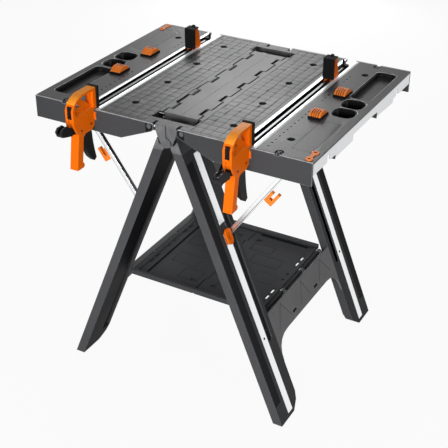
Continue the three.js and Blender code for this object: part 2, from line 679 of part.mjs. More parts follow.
// Lower panel between the legs: the right one carries the shelf hinge, the left one an open ledge
function makePanel(hinged) {
  const half = LEG_INSIDE_Y - FIT;
  const z = (along) => along - FLOOR_REACH;
  const sheet = new THREE.Shape();
  sheet.moveTo(-half, z(PANEL_TOP));
  sheet.lineTo(-half, z(PANEL_FOOT));
  sheet.quadraticCurveTo(-half, z(PANEL_BOTTOM), -PANEL_ARCH_Y, z(PANEL_BOTTOM));
  sheet.lineTo(PANEL_ARCH_Y, z(PANEL_BOTTOM));
  sheet.quadraticCurveTo(half, z(PANEL_BOTTOM), half, z(PANEL_FOOT));
  sheet.lineTo(half, z(PANEL_TOP));
  const plate = tilted(pull("x", sheet, LEG_OUTER - PANEL_THICKNESS, LEG_OUTER, 5));
  const hooks = bothEnds((end) => tilted(box(
    [LEG_OUTER - PANEL_THICKNESS - 1, LEG_OUTER + 1],
    stretch(end, PANEL_HOOK_Y - PANEL_HOOK_WIDTH / 2, PANEL_HOOK_Y + PANEL_HOOK_WIDTH / 2),
    alongLeg(PANEL_HOOK_POSITION - PANEL_HOOK_LENGTH / 2, PANEL_HOOK_POSITION + PANEL_HOOK_LENGTH / 2),
  )));
  const floorX = [LEG_INNER, LEG_OUTER - PANEL_THICKNESS / 2].map((offset) => legFaceX(offset, LEDGE_HEIGHT));
  const floor = box(floorX, [-half, half], [LEDGE_HEIGHT - TROUGH_FLOOR, LEDGE_HEIGHT]);
  if (!hinged) {
    const room = box([0, TABLE_WIDTH], [-SHELF_HALF_DEPTH, SHELF_HALF_DEPTH], [LEDGE_HEIGHT, TABLE_HEIGHT]);
    return cut(join(plate, floor), ...hooks, room);
  }
  const lugs = [-1.5, -0.5, 0.5, 1.5].map((step) => {
    const middle = step * SHELF_LUG_PITCH;
    const y = [middle - SHELF_LUG_THICKNESS / 2, middle + SHELF_LUG_THICKNESS / 2];
    const tail = [SHELF_HINGE_X, floorX[1]];
    return cut(
      join(
        rod("y", [SHELF_HINGE_X, SHELF_AXIS], SHELF_LUG_RADIUS, y),
        box(tail, y, [LEDGE_HEIGHT - 1, SHELF_AXIS + SHELF_LUG_RADIUS / 2]),
      ),
      rod("y", [SHELF_HINGE_X, SHELF_AXIS], SHELF_AXLE_RADIUS + HOLE_PLAY, [y[0] - 1, y[1] + 1]),
    );
  });
  return cut(join(plate, floor, ...lugs), ...hooks);
}

// Shelf halves, joined by a castellated hinge at the middle
function makeShelfHalf(side) {
  const depth = SHELF_HALF_DEPTH;
  const rimTop = SHELF_UNDERSIDE + SHELF_RIM_HEIGHT;
  const plateTop = SHELF_UNDERSIDE + SHELF_PLATE;
  const ways = [FIT, SHELF_END_X];
  const rims = bothEnds((end) => box(
    ways,
    stretch(end, depth - SHELF_RIM_WIDTH, depth),
    [SHELF_UNDERSIDE, rimTop],
  ));
  const endBeam = box(
    [SHELF_END_X - SHELF_RIM_WIDTH, SHELF_END_X],
    [-depth, depth],
    [SHELF_UNDERSIDE, plateTop + SHELF_BEAM_RISE],
  );
  const toes = [-1, 0, 1].map((step) => {
    const middle = step * SHELF_LUG_PITCH;
    const y = [middle - SHELF_KNUCKLE_LENGTH / 2, middle + SHELF_KNUCKLE_LENGTH / 2];
    return join(
      rod("y", [SHELF_HINGE_X, SHELF_AXIS], SHELF_KNUCKLE_RADIUS, y),
      box([SHELF_END_X - 1, SHELF_HINGE_X], y, [SHELF_UNDERSIDE, SHELF_AXIS + SHELF_KNUCKLE_RADIUS]),
    );
  });
  const reach = SHELF_LUG_PITCH * 1.5 + SHELF_LUG_THICKNESS / 2;
  const axle = rod("y", [SHELF_HINGE_X, SHELF_AXIS], SHELF_AXLE_RADIUS, [-reach, reach]);
  const knuckles = [];
  const knuckleRoom = [];
  for (let i = 0; i < CENTRE_KNUCKLE_COUNT; i += 1) {
    const middle = (i - (CENTRE_KNUCKLE_COUNT - 1) / 2) * CENTRE_KNUCKLE_PITCH;
    const y = [middle - CENTRE_KNUCKLE_PITCH / 2, middle + CENTRE_KNUCKLE_PITCH / 2];
    const barrel = (radius, play) => rod("y", [0, SHELF_AXIS], radius, [y[0] + play, y[1] - play]);
    if (i % 2 === 0) {
      const tail = box([0, 2 * SHELF_KNUCKLE_RADIUS], [y[0] + FIT, y[1] - FIT], [SHELF_UNDERSIDE, plateTop]);
      knuckles.push(barrel(SHELF_KNUCKLE_RADIUS, FIT), tail);
    } else {
      const room = SHELF_KNUCKLE_RADIUS + MOVING_PLAY;
      knuckleRoom.push(barrel(room, -FIT));
      knuckleRoom.push(box([-1, room], [y[0] - FIT, y[1] + FIT], [0, plateTop + 1]));
    }
  }
  const sunk = [SHELF_UNDERSIDE + SHELF_SKIN, rimTop + 1];
  const slots = [-3.5, -2.5, 2.5, 3.5].map((step) => {
    const corner = SHELF_SLOT_WIDTH / 2 - MOVING_PLAY;
    const middle = step * SHELF_SLOT_PITCH;
    const shape = roundedRectangle(SHELF_SLOT_X, middle, SHELF_SLOT_WIDTH, SHELF_SLOT_LENGTH, corner);
    return pull("z", shape, ...sunk, 2);
  });
  const holes = [-0.5, 0.5].map((step) => {
    const middle = [SHELF_SLOT_X, step * SHELF_SLOT_PITCH];
    return rod("z", middle, SHELF_SLOT_WIDTH / 2, sunk, 4);
  });
  const windows = bothEnds((end) => box(
    [SHELF_WINDOW_X, SHELF_WINDOW_X + SHELF_WINDOW],
    stretch(end, SHELF_WINDOW_Y, SHELF_WINDOW_Y + SHELF_WINDOW),
    sunk,
  ));
  const plate = box(ways, [-depth, depth], [SHELF_UNDERSIDE, plateTop]);
  const ends = side === "right" ? [...toes, axle] : toes;
  const pinBore = rod("y", [0, SHELF_AXIS], CENTRE_PIN_RADIUS + HOLE_PLAY, [-depth - 1, depth + 1]);
  const body = cut(join(plate, ...rims, endBeam, ...ends), ...knuckleRoom);
  return cut(join(body, ...knuckles), ...slots, ...holes, ...windows, pinBore);
}

function makeShelfPin() {
  const half = (CENTRE_KNUCKLE_COUNT * CENTRE_KNUCKLE_PITCH) / 2;
  return rod("y", [0, SHELF_AXIS], CENTRE_PIN_RADIUS, [-half, half]);
}

// Wing: inner deck with hinge tongues, outer deck with pockets, skirts, edge trim and clamp track
function dogBores(x, top, bottom) {
  return DOG_ROWS.map((y) => rod("z", [x, y], DOG_HOLE_RADIUS, [bottom, top], 6));
}

function dogBosses(x) {
  const z = [DECK_UNDERSIDE - DOG_BOSS_DEPTH, DECK_UNDERSIDE + 1];
  return DOG_ROWS.map((y) => rod("z", [x, y], DOG_HOLE_RADIUS + DOG_BOSS_WALL, z, 6));
}

function deckRibs([x0, x1], rows) {
  const z = [DECK_UNDERSIDE - RIB_DEPTH, DECK_UNDERSIDE + 1];
  return rows.map((y) => box([x0, x1], [y - RIB_THICKNESS / 2, y + RIB_THICKNESS / 2], z));
}

function makeInnerDeck() {
  const farX = TRACK_X - TRACK_HALF_WIDTH - FIT;
  const plate = box([SEAM_X + FIT, farX], [-DECK_HALF_DEPTH, DECK_HALF_DEPTH], [DECK_UNDERSIDE, TABLE_HEIGHT]);
  const corners = bothEnds((end) => box(
    [HINGE_X - TONGUE_RADIUS + 2, SEAM_X + 1],
    stretch(end, SLOT_FAR + END_LUG_THICKNESS + NOTCH_PLAY, DECK_HALF_DEPTH),
    [DECK_UNDERSIDE, TABLE_HEIGHT],
  ));
  const tongues = tongueCentres().map((middle) => {
    const y = [middle - TONGUE_LENGTH / 2, middle + TONGUE_LENGTH / 2];
    const bottom = HINGE_HEIGHT - TONGUE_RADIUS;
    return cut(
      join(
        rod("y", [HINGE_X, HINGE_HEIGHT], TONGUE_RADIUS, y),
        box([HINGE_X, SEAM_X + TONGUE_ROOT], y, [bottom, TABLE_HEIGHT]),
      ),
      rod("y", [HINGE_X, HINGE_HEIGHT], HINGE_PIN_RADIUS + HOLE_PLAY, [y[0] - 1, y[1] + 1]),
    );
  });
  const ribRows = DOG_ROWS.map((y) => y - Math.sign(y) * (DOG_HOLE_RADIUS + RIB_DEPTH));
  const edgeRib = box(
    [farX - RIB_THICKNESS, farX],
    [-DECK_HALF_DEPTH, DECK_HALF_DEPTH],
    [DECK_UNDERSIDE - RIB_DEPTH, TABLE_HEIGHT],
  );
  const ribs = deckRibs([SEAM_X + TONGUE_ROOT, farX - 1], ribRows);
  const slots = bothEnds((end) => box(
    [0, LUMBER_SLOT_HALF_LENGTH],
    stretch(end, SLOT_NEAR, SLOT_FAR),
    [DECK_UNDERSIDE - TABLE_HEIGHT / 2, TABLE_HEIGHT + 1],
  ));
  const aprons = bothEnds((end) => box(
    [LUMBER_SLOT_HALF_LENGTH, LUMBER_SLOT_HALF_LENGTH + SLOT_WALL],
    stretch(end, SLOT_NEAR + MOVING_PLAY, SLOT_FAR - MOVING_PLAY),
    [TABLE_HEIGHT - SLOT_APRON_DROP, DECK_UNDERSIDE + 1],
  ));
  const bores = dogBores(DOG_ROW_INNER, TABLE_HEIGHT + 1, DECK_UNDERSIDE - DOG_BOSS_DEPTH - 1);
  const whole = join(plate, ...corners, ...tongues, edgeRib, ...ribs, ...aprons, ...dogBosses(DOG_ROW_INNER));
  return cut(whole, ...slots, ...bores);
}

function pocket(x, y, width, length, corner, depth) {
  const floor = TABLE_HEIGHT - depth;
  const outer = roundedRectangle(x, y, width + 2 * POCKET_WALL, length + 2 * POCKET_WALL, corner + POCKET_WALL);
  return {
    shell: pull("z", outer, floor - POCKET_WALL, DECK_UNDERSIDE + 1, 3),
    hollow: pull("z", roundedRectangle(x, y, width, length, corner), floor, TABLE_HEIGHT + 1, 3),
  };
}

function socketGroove(end) {
  const ring = new THREE.Shape().absarc(SOCKET_X, end * SOCKET_Y, SOCKET_RADIUS, 0, Math.PI * 2);
  ring.holes.push(new THREE.Path().absarc(SOCKET_X, end * SOCKET_Y, SOCKET_CORE, 0, Math.PI * 2, true));
  return join(pull("z", ring, TABLE_HEIGHT - SOCKET_DEPTH, TABLE_HEIGHT + 1, 6), socketNeck(end));
}

// The clip's waist lies in a channel from the socket to the edge of the bench
function socketNeck(end) {
  const half = CLIP_WAIST / 2 + MOVING_PLAY;
  return box(
    [SOCKET_X - half, SOCKET_X + half],
    stretch(end, SOCKET_Y + SOCKET_CORE, HALF_DEPTH + 1),
    [TABLE_HEIGHT - SOCKET_DEPTH, TABLE_HEIGHT + 1],
  );
}

function clipOutline(play) {
  const z = [TABLE_HEIGHT - CLIP_RECESS - play, TABLE_HEIGHT - CLIP_RECESS + CLIP_THICKNESS];
  const body = [-1, 1].map((end) => {
    const ring = disc(CLIP_X, CLIP_Y + end * CLIP_HALF_SPAN, CLIP_RADIUS + play);
    return pull("z", ring, ...z, 5);
  });
  const half = CLIP_WAIST / 2 + play;
  const waist = box([CLIP_X - half, CLIP_X + half], [CLIP_Y - CLIP_HALF_SPAN, CLIP_Y + CLIP_HALF_SPAN], z);
  return join(waist, ...body);
}

function makeConnectorClip() {
  const bites = [-1, 1].map((end) => rod(
    "z",
    [CLIP_X, CLIP_Y + end * (CLIP_HALF_SPAN + CLIP_BITE_OFFSET)],
    CLIP_BITE,
    [TABLE_HEIGHT - CLIP_RECESS + 1, TABLE_HEIGHT + CLIP_THICKNESS],
    6,
  ));
  return cut(clipOutline(0), ...bites);
}

function makeOuterDeck() {
  const nearX = TRACK_X + TRACK_HALF_WIDTH + FIT;
  const plate = box([nearX, HALF_WIDTH], [-DECK_HALF_DEPTH, DECK_HALF_DEPTH], [DECK_UNDERSIDE, TABLE_HEIGHT]);
  const edgeRib = box(
    [nearX, nearX + RIB_THICKNESS],
    [-DECK_HALF_DEPTH, DECK_HALF_DEPTH],
    [DECK_UNDERSIDE - RIB_DEPTH, TABLE_HEIGHT],
  );
  const pockets = [
    pocket(TRAY_X, TRAY_Y, TRAY_WIDTH, TRAY_LENGTH, TRAY_CORNER, TRAY_DEPTH),
    ...CUP_Y.map((y) => pocket(TRAY_X, y, CUP_WIDTH, CUP_LENGTH, CUP_CORNER, CUP_DEPTH)),
  ];
  const lugNear = STRUT_THICKNESS / 2 + FIT;
  const lugs = [-1, 1].flatMap((end) => [-1, 1].map((face) => {
    const middle = end * STRUT_Y;
    const faces = [middle + face * lugNear, middle + face * (lugNear + STRUT_LUG_THICKNESS)];
    const y = [Math.min(...faces), Math.max(...faces)];
    return cut(
      join(
        rod("y", STRUT_TOP, STRUT_EYE_RADIUS, y),
        box(
          [STRUT_TOP[0] - STRUT_EYE_RADIUS, STRUT_TOP[0] + STRUT_EYE_RADIUS],
          y,
          [STRUT_TOP[1], DECK_UNDERSIDE + 1],
        ),
      ),
      rod("y", STRUT_TOP, HINGE_PIN_RADIUS + HOLE_PLAY, [y[0] - 1, y[1] + 1]),
    );
  }));
  const ribs = deckRibs([nearX, DECK_RIB_X], [-STRUT_Y - 3 * RIB_DEPTH, -STRUT_Y + 5 * RIB_DEPTH]);
  const bores = dogBores(DOG_ROW_OUTER, TABLE_HEIGHT + 1, DECK_UNDERSIDE - DOG_BOSS_DEPTH - 1);
  const whole = join(
    plate,
    edgeRib,
    ...ribs,
    ...dogBosses(DOG_ROW_OUTER),
    ...pockets.map(({ shell }) => shell),
    ...lugs,
  );
  const hollows = pockets.map(({ hollow }) => hollow);
  return cut(whole, ...hollows, ...bores, ...bothEnds(socketGroove), clipOutline(FIT));
}

function makeSkirt(end) {
  const bottom = TABLE_HEIGHT - SKIRT_DEPTH;
  const toKnee = Math.atan2(bottom - HINGE_HEIGHT, SKIRT_KNEE_X - HINGE_X);
  const kneeSpan = Math.hypot(SKIRT_KNEE_X - HINGE_X, HINGE_HEIGHT - bottom);
  const tangent = toKnee - Math.acos(NOSE_RADIUS / kneeSpan);
  const crown = Math.asin(HINGE_DROP / NOSE_RADIUS);
  const side = new THREE.Shape();
  side.absarc(HINGE_X, HINGE_HEIGHT, NOSE_RADIUS, Math.PI - crown, Math.PI * 2 + tangent);
  side.lineTo(SKIRT_KNEE_X, bottom);
  side.lineTo(HALF_WIDTH, bottom);
  side.lineTo(HALF_WIDTH, TABLE_HEIGHT);
  const y = stretch(end, HALF_DEPTH - SKIRT_THICKNESS, HALF_DEPTH);
  const through = [y[0] - 1, y[1] + 1];
  const trackMouth = join(
    box([TRACK_X - TRACK_HALF_CHANNEL, TRACK_X + TRACK_HALF_CHANNEL], through, trackChannel()),
    box(
      [TRACK_X - TRACK_HALF_OPENING, TRACK_X + TRACK_HALF_OPENING],
      through,
      [TABLE_HEIGHT - TRACK_FLANGE - 1, TABLE_HEIGHT + 1],
    ),
  );
  const stub = rod("y", [HINGE_X, HINGE_HEIGHT], HINGE_PIN_RADIUS, stretch(end, SLOT_FAR + 1, HALF_DEPTH - 1));
  return cut(join(pull("y", side, ...y, 10), stub), trackMouth, socketNeck(end));
}

// Heights of the channel inside the track
function trackChannel() {
  return [TABLE_HEIGHT - TRACK_HEIGHT + TRACK_WALL, TABLE_HEIGHT - TRACK_FLANGE];
}

function makeTrack() {
  const top = TABLE_HEIGHT;
  const [floor, under] = trackChannel();
  const base = top - TRACK_HEIGHT;
  const inside = TRACK_HALF_CHANNEL;
  const outside = inside + TRACK_WALL;
  const half = [
    [TRACK_HALF_OPENING, under],
    [TRACK_HALF_OPENING, top],
    [TRACK_HALF_WIDTH, top],
    [TRACK_HALF_WIDTH, under],
    [outside, under],
    [outside, base],
  ];
  const right = [[inside, floor], [inside, under], ...half];
  const left = right.map(([x, z]) => [-x, z]).reverse();
  const section = outline([...right, ...left].map(([x, z]) => [x + TRACK_X, z]));
  return pull("y", section, -DECK_HALF_DEPTH, DECK_HALF_DEPTH);
}

// Edge trim: its lower edge is stepped, deeper between the legs, with a notch for each strut
function makeEdgeTrim() {
  const z = (drop) => TABLE_HEIGHT - drop;
  const top = DECK_UNDERSIDE - FIT;
  const side = outline([
    [-DECK_HALF_DEPTH, top],
    [-DECK_HALF_DEPTH, z(TRIM_DROP)],
    ...TRIM_STEPS.map(([y, drop]) => [y, z(drop)]),
    [DECK_HALF_DEPTH, z(TRIM_DROP)],
    [DECK_HALF_DEPTH, top],
  ]);
  const half = STRUT_THICKNESS / 2 + STRUT_SLOT_PLAY;
  const notches = bothEnds((end) => box(
    [TRIM_X - 1, HALF_WIDTH + 1],
    stretch(end, STRUT_Y - half, STRUT_Y + half),
    [z(SKIRT_DEPTH), z(STRUT_NOTCH_TOP_DROP)],
  ));
  return cut(pull("x", side, TRIM_X, HALF_WIDTH), ...notches);
}

// Struts with their eye pins, and the hook that clips on a front strut
function strutFrame(end) {
  const lean = Math.atan2(STRUT_TOP[0] - STRUT_FOOT[0], STRUT_TOP[1] - STRUT_FOOT[1]);
  return new THREE.Matrix4()
    .makeTranslation(STRUT_TOP[0], end * STRUT_Y, STRUT_TOP[1])
    .multiply(new THREE.Matrix4().makeRotationY(lean));
}

function makeStrut(end) {
  const half = STRUT_WIDTH / 2;
  const shape = new THREE.Shape();
  shape.absarc(0, 0, STRUT_EYE_RADIUS, 0, Math.PI);
  shape.lineTo(-half, -2 * STRUT_EYE_RADIUS);
  shape.absarc(0, -STRUT_LENGTH, half, Math.PI, Math.PI * 2);
  shape.lineTo(half, -2 * STRUT_EYE_RADIUS);
  const pinHalf = STRUT_THICKNESS / 2 + FIT + STRUT_LUG_THICKNESS;
  const bar = join(
    pull("y", shape, -STRUT_THICKNESS / 2, STRUT_THICKNESS / 2, 5),
    rod("y", [0, 0], HINGE_PIN_RADIUS, [-pinHalf, pinHalf]),
  );
  return placed(bar, strutFrame(end));
}

function makeStrutHook(end) {
  const near = STRUT_WIDTH / 2 + FIT;
  const far = near + HOOK_REACH;
  const [top, bottom] = [-HOOK_POSITION, -HOOK_POSITION - HOOK_LENGTH];
  const hook = outline([
    [near, top],
    [near, bottom],
    [far, bottom],
    [far, top + HOOK_BAR],
    [far - HOOK_BAR, top + HOOK_BAR],
    [far - HOOK_BAR, bottom + HOOK_BAR + HOOK_SEAT],
    [near + HOOK_BAR, bottom + HOOK_BAR + HOOK_SEAT],
    [near + HOOK_BAR, top],
  ]);
  const half = STRUT_THICKNESS / 2;
  return placed(pull("y", hook, -half, half), strutFrame(end));
}

// Bench dog: a cap with a round ribbed end and a sloping heel, on a stem, drawn about the middle of its hole
function makeDog() {
  const [w, l, h] = [DOG_WIDTH / 2, DOG_LENGTH / 2, DOG_HEIGHT];
  const side = new THREE.Shape();
  side.moveTo(-l, FIT);
  side.lineTo(l, FIT);
  side.lineTo(l, DOG_HEEL);
  side.lineTo(l / 3, h);
  side.lineTo(-l / 4, h);
  side.quadraticCurveTo(-l, h, -l, DOG_LIP);
  const core = new THREE.Shape();
  core.moveTo(-l + DOG_GROOVE_DEPTH, 0);
  core.lineTo(l, 0);
  core.lineTo(l, h + 2);
  core.lineTo(l / 2, h + 2);
  core.lineTo(-l / 6, h - DOG_GROOVE_DEPTH);
  core.quadraticCurveTo(-l + DOG_GROOVE_DEPTH, h - DOG_GROOVE_DEPTH, -l + DOG_GROOVE_DEPTH, DOG_LIP);
  const grooves = [-1.5, -0.5, 0.5, 1.5].map((step) => {
    const middle = step * DOG_GROOVE_PITCH;
    const x = [middle - DOG_GROOVE_WIDTH / 2, middle + DOG_GROOVE_WIDTH / 2];
    return cut(box(x, [-l - 1, l / 2], [DOG_LIP, h + 1]), pull("x", core, -w, w, 4));
  });
  const stem = rod("z", [0, 0], DOG_HOLE_RADIUS - HOLE_PLAY, [-DOG_STEM_LENGTH, FIT + 1], 6);
  return cut(join(pull("x", side, -w, w, 4), stem), ...grooves);
}

// Bar clamp, drawn about the middle of its track (x = 0) in bench Y and Z
function behindFront([back, drop]) {
  return [back - CLAMP_FRONT, CLAMP_TOP - drop];
}

function makeClampBody() {
  const deck = TABLE_HEIGHT + MOVING_PLAY;
  const postRear = -(CLAMP_PAD_FACE + CLAMP_PAD_THICKNESS);
  const side = outline([
    [postRear, CLAMP_TOP],
    [postRear, deck],
    [-CLAMP_REAR, deck],
    ...CLAMP_HEEL.map(([forward, rise]) => [-CLAMP_REAR - forward, TABLE_HEIGHT + rise]),
    ...CLAMP_GRIP.map(([back, rise]) => [back - CLAMP_FRONT, TABLE_HEIGHT + rise]),
    ...CLAMP_ARCH.map(behindFront),
  ]);
  const web = outline([
    [postRear - CLAMP_POST, CLAMP_TOP - CLAMP_RIM],
    [postRear - CLAMP_POST, deck + CLAMP_RIM],
    ...CLAMP_WEB_EDGE.map(behindFront),
  ]);
  const half = CLAMP_WIDTH / 2;
  const recesses = [[CLAMP_WEB / 2, half + 1], [-half - 1, -CLAMP_WEB / 2]].map((x) => pull("x", web, ...x));
  const windows = CLAMP_WINDOWS.map((points) => pull("x", outline(points.map(behindFront)), -half, half));
  const guides = [[CLAMP_GUIDE_GAP, CLAMP_SHOE_HALF], [-CLAMP_SHOE_HALF, -CLAMP_GUIDE_GAP]].map((x) => join(
    box(x, [-CLAMP_REAR, -CLAMP_REAR + CLAMP_GUIDE_LENGTH], SHOE_SPAN),
    box([Math.max(x[0], -half), Math.min(x[1], half)], [-CLAMP_REAR - 1, -CLAMP_REAR + 1], SHOE_SPAN),
  ));
  const bore = box(
    [-BAR_WIDTH / 2 - MOVING_PLAY, BAR_WIDTH / 2 + MOVING_PLAY],
    [-CLAMP_FRONT - 1, -CLAMP_REAR + 1],
    [BAR_BOTTOM - MOVING_PLAY, BAR_TOP + MOVING_PLAY],
  );
  const mouth = box(
    [-CLAMP_MOUTH_WIDTH / 2, CLAMP_MOUTH_WIDTH / 2],
    [-CLAMP_FRONT - 1, -CLAMP_FRONT + CLAMP_MOUTH_DEPTH],
    CLAMP_MOUTH.map((rise) => TABLE_HEIGHT + rise),
  );
  const triggerHalf = TRIGGER_WIDTH / 2 + MOVING_PLAY;
  const triggerRoom = box(
    [-triggerHalf, triggerHalf],
    [TRIGGER_Y - TRIGGER_ROOM.front, TRIGGER_Y + TRIGGER_ROOM.rear],
    [TRIGGER_HEIGHT - TRIGGER_ROOM.down, TRIGGER_HEIGHT + TRIGGER_ROOM.up],
  );
  const leverHalf = LEVER_WIDTH / 2 + MOVING_PLAY;
  const leverRoom = box(
    [-leverHalf, leverHalf],
    [-CLAMP_FRONT - 1, LEVER_Y + LEVER_ROOM.rear],
    [LEVER_HEIGHT - LEVER_ROOM.down, LEVER_HEIGHT + LEVER_ROOM.up],
  );
  const whole = join(pull("x", side, -half, half), ...guides);
  return cut(whole, ...recesses, ...windows, bore, mouth, triggerRoom, leverRoom);
}

function makeClampPad() {
  const face = -CLAMP_PAD_FACE;
  const back = face - CLAMP_PAD_THICKNESS + FIT;
  const half = CLAMP_PAD_WIDTH / 2;
  return box([-half, half], [back, face], [TABLE_HEIGHT + 2 * MOVING_PLAY, CLAMP_TOP + CLAMP_PAD_RISE]);
}

function makeTrigger() {
  const at = ([y, z]) => [TRIGGER_Y + y, TRIGGER_HEIGHT + z];
  const [backTop, backBend, backTip] = TRIGGER_BACK.map(at);
  const [toeTip, toeFront] = TRIGGER_TOE.map(at);
  const [faceBend, faceTop] = TRIGGER_FACE.map(at);
  const shape = new THREE.Shape();
  shape.moveTo(...at([-TRIGGER_HALF, TRIGGER_SHOULDER]));
  shape.lineTo(...at([TRIGGER_HALF, TRIGGER_SHOULDER]));
  shape.lineTo(...backTop);
  shape.quadraticCurveTo(...backBend, ...backTip);
  shape.lineTo(...toeTip);
  shape.lineTo(...toeFront);
  shape.quadraticCurveTo(...faceBend, ...faceTop);
  return pull("x", shape, -TRIGGER_WIDTH / 2, TRIGGER_WIDTH / 2, 5);
}

// The lever's pad is wider than its neck and is split where the bar runs through
function makeLever(droop) {
  const shape = new THREE.Shape();
  shape.absarc(0, 0, LEVER_HUB, -Math.PI / 2, Math.PI / 2);
  LEVER_SIDE.forEach(([y, z]) => shape.lineTo(y, z));
  const padHalf = LEVER_PAD_WIDTH / 2;
  const frame = new THREE.Matrix4()
    .makeTranslation(0, LEVER_Y, LEVER_HEIGHT)
    .multiply(new THREE.Matrix4().makeRotationX(droop));
  const ahead = box([-padHalf, padHalf], [-CLAMP_DEPTH, -LEVER_PAD_START], [-CLAMP_DEPTH, CLAMP_DEPTH]);
  const lever = join(
    pull("x", shape, -LEVER_WIDTH / 2, LEVER_WIDTH / 2, 5),
    shared(pull("x", shape, -padHalf, padHalf, 5), ahead),
  );
  const slotHalf = BAR_WIDTH / 2 + 2 * MOVING_PLAY;
  const barSlot = box(
    [-slotHalf, slotHalf],
    [LEVER_Y - CLAMP_DEPTH, LEVER_Y],
    [BAR_BOTTOM - 4 * MOVING_PLAY, CLAMP_TOP],
  );
  return cut(placed(lever, frame), barSlot);
}

function makeBar(jawFace) {
  const rear = jawFace + JAW_DEPTH;
  return box([-BAR_WIDTH / 2, BAR_WIDTH / 2], [-CLAMP_FRONT + BAR_FRONT_INSET, rear], [BAR_BOTTOM, BAR_TOP]);
}

function makeJaw(jawFace) {
  const back = jawFace + CLAMP_PAD_THICKNESS;
  const rear = jawFace + JAW_DEPTH + CLAMP_PAD_THICKNESS;
  const deck = TABLE_HEIGHT + MOVING_PLAY;
  const side = outline([
    [back, deck],
    [rear, deck],
    [rear, deck + JAW_TOE],
    [back + JAW_TOP_DEPTH, CLAMP_TOP],
    [back, CLAMP_TOP],
  ]);
  const half = CLAMP_WIDTH / 2;
  const neck = box(
    [-TRACK_HALF_OPENING + MOVING_PLAY, TRACK_HALF_OPENING - MOVING_PLAY],
    [back, rear],
    [TABLE_HEIGHT - TRACK_FLANGE - JAW_NECK, deck + 1],
  );
  const shoe = box([-CLAMP_SHOE_HALF, CLAMP_SHOE_HALF], [back, rear], SHOE_SPAN);
  const barRoom = box(
    [-BAR_WIDTH / 2 - FIT, BAR_WIDTH / 2 + FIT],
    [back - 1, jawFace + JAW_DEPTH + FIT],
    [BAR_BOTTOM - FIT, BAR_TOP + FIT],
  );
  return cut(join(pull("x", side, -half, half), neck, shoe), barRoom);
}

// Black facing of the rear jaw: the pad, a cap over the jaw and the lock post on the cap
function makeJawPad(jawFace) {
  const half = CLAMP_PAD_WIDTH / 2;
  const capFloor = CLAMP_TOP + FIT;
  const capTop = capFloor + JAW_CAP;
  const capRear = jawFace + CLAMP_PAD_THICKNESS + JAW_TOP_DEPTH;
  const padBack = jawFace + CLAMP_PAD_THICKNESS - FIT;
  const postRear = [capRear - JAW_POST, capRear];
  return join(
    box([-half, half], [jawFace, padBack], [TABLE_HEIGHT + 2 * MOVING_PLAY, capTop]),
    box([-half, half], [jawFace, capRear], [capFloor, capTop]),
    box([-JAW_POST / 2, JAW_POST / 2], postRear, [capFloor, capFloor + JAW_POST_RISE]),
  );
}

// Assembly. The left half of the bench is the right half turned half a turn about Z.
function addHalf(bench, side) {
  const half = new THREE.Group();
  half.rotation.z = side === "right" ? 0 : Math.PI;
  const endName = (end) => ((end < 0) === (side === "right") ? "front" : "rear");
  const add = (name, shape, finish) => half.add(piece(`${side}_${name}`, shape, finish));
  add("head", makeHead(), "moulded");
  add("hinge_pin", makeHingePin(), "steel");
  add("cross_panel", makePanel(side === "right"), "moulded");
  add("inner_deck", makeInnerDeck(), "moulded");
  add("outer_deck", makeOuterDeck(), "moulded");
  add("clamp_track", makeTrack(), "aluminium");
  add("edge_trim", makeEdgeTrim(), "aluminium");
  add("connector_clip", makeConnectorClip(), "orange");
  add("shelf_half", makeShelfHalf(side), "moulded");
  for (const end of [-1, 1]) {
    const place = endName(end);
    add(`${place}_leg`, makeLeg(end), "moulded");
    add(`${place}_leg_strip`, makeStrip(end), "aluminium");
    add(`${place}_skirt`, makeSkirt(end), "moulded");
    add(`${place}_strut`, makeStrut(end), "aluminium");
    add(`${place}_lock_button`, makeLockButton(end), "orange");
    const dog = piece(`${side}_${place}_dog`, makeDog(), "orange");
    dog.position.set(DOG_ROW_OUTER, (end * DOG_PITCH) / 2, TABLE_HEIGHT);
    half.add(dog);
    if (place === "front") {
      add("strut_hook", makeStrutHook(end), "orange");
    }
  }
  bench.add(half);
}

function addClamp(bench, side) {
  const clamp = new THREE.Group();
  clamp.position.x = side === "right" ? TRACK_X : -TRACK_X;
  const add = (name, shape, finish) => clamp.add(piece(`${side}_${name}`, shape, finish));
  add("clamp_body", makeClampBody(), "orange");
  add("clamp_pad", makeClampPad(), "black");
  add("clamp_trigger", makeTrigger(), "black");
  add("release_lever", makeLever(LEVER_DROOP[side]), "black");
  add("clamp_bar", makeBar(JAW_FACE[side]), "steel");
  add("rear_jaw", makeJaw(JAW_FACE[side]), "orange");
  add("rear_jaw_pad", makeJawPad(JAW_FACE[side]), "black");
  bench.add(clamp);
}

function makeWorkbench() {
  const bench = new THREE.Group();
  for (const side of ["right", "left"]) {
    addHalf(bench, side);
    addClamp(bench, side);
  }
  const rodHalf = HEAD_HALF_DEPTH - EAR_SKIN - FIT;
  const pivotRod = rod("y", [0, PIVOT_HEIGHT], PIVOT_ROD_RADIUS, [-rodHalf, rodHalf], 8);
  bench.add(piece("leg_pivot_rod", pivotRod, "steel"));
  bench.add(piece("shelf_centre_pin", makeShelfPin(), "steel"));
  const extent = new THREE.Box3().setFromObject(bench, true);
  bench.position.y = -(extent.min.y + extent.max.y) / 2;
  const workbench = new THREE.Group();
  workbench.add(bench);
  return workbench;
}

export default makeWorkbench();
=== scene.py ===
"""Dress the folding workbench: bevelled mouldings, engraved grid, clamp detail and studio."""

from __future__ import annotations

import json
import logging
import math
from dataclasses import dataclass
from enum import Enum
from typing import Callable, Iterable, Sequence

import bmesh
import bpy
from mathutils import Matrix, Vector

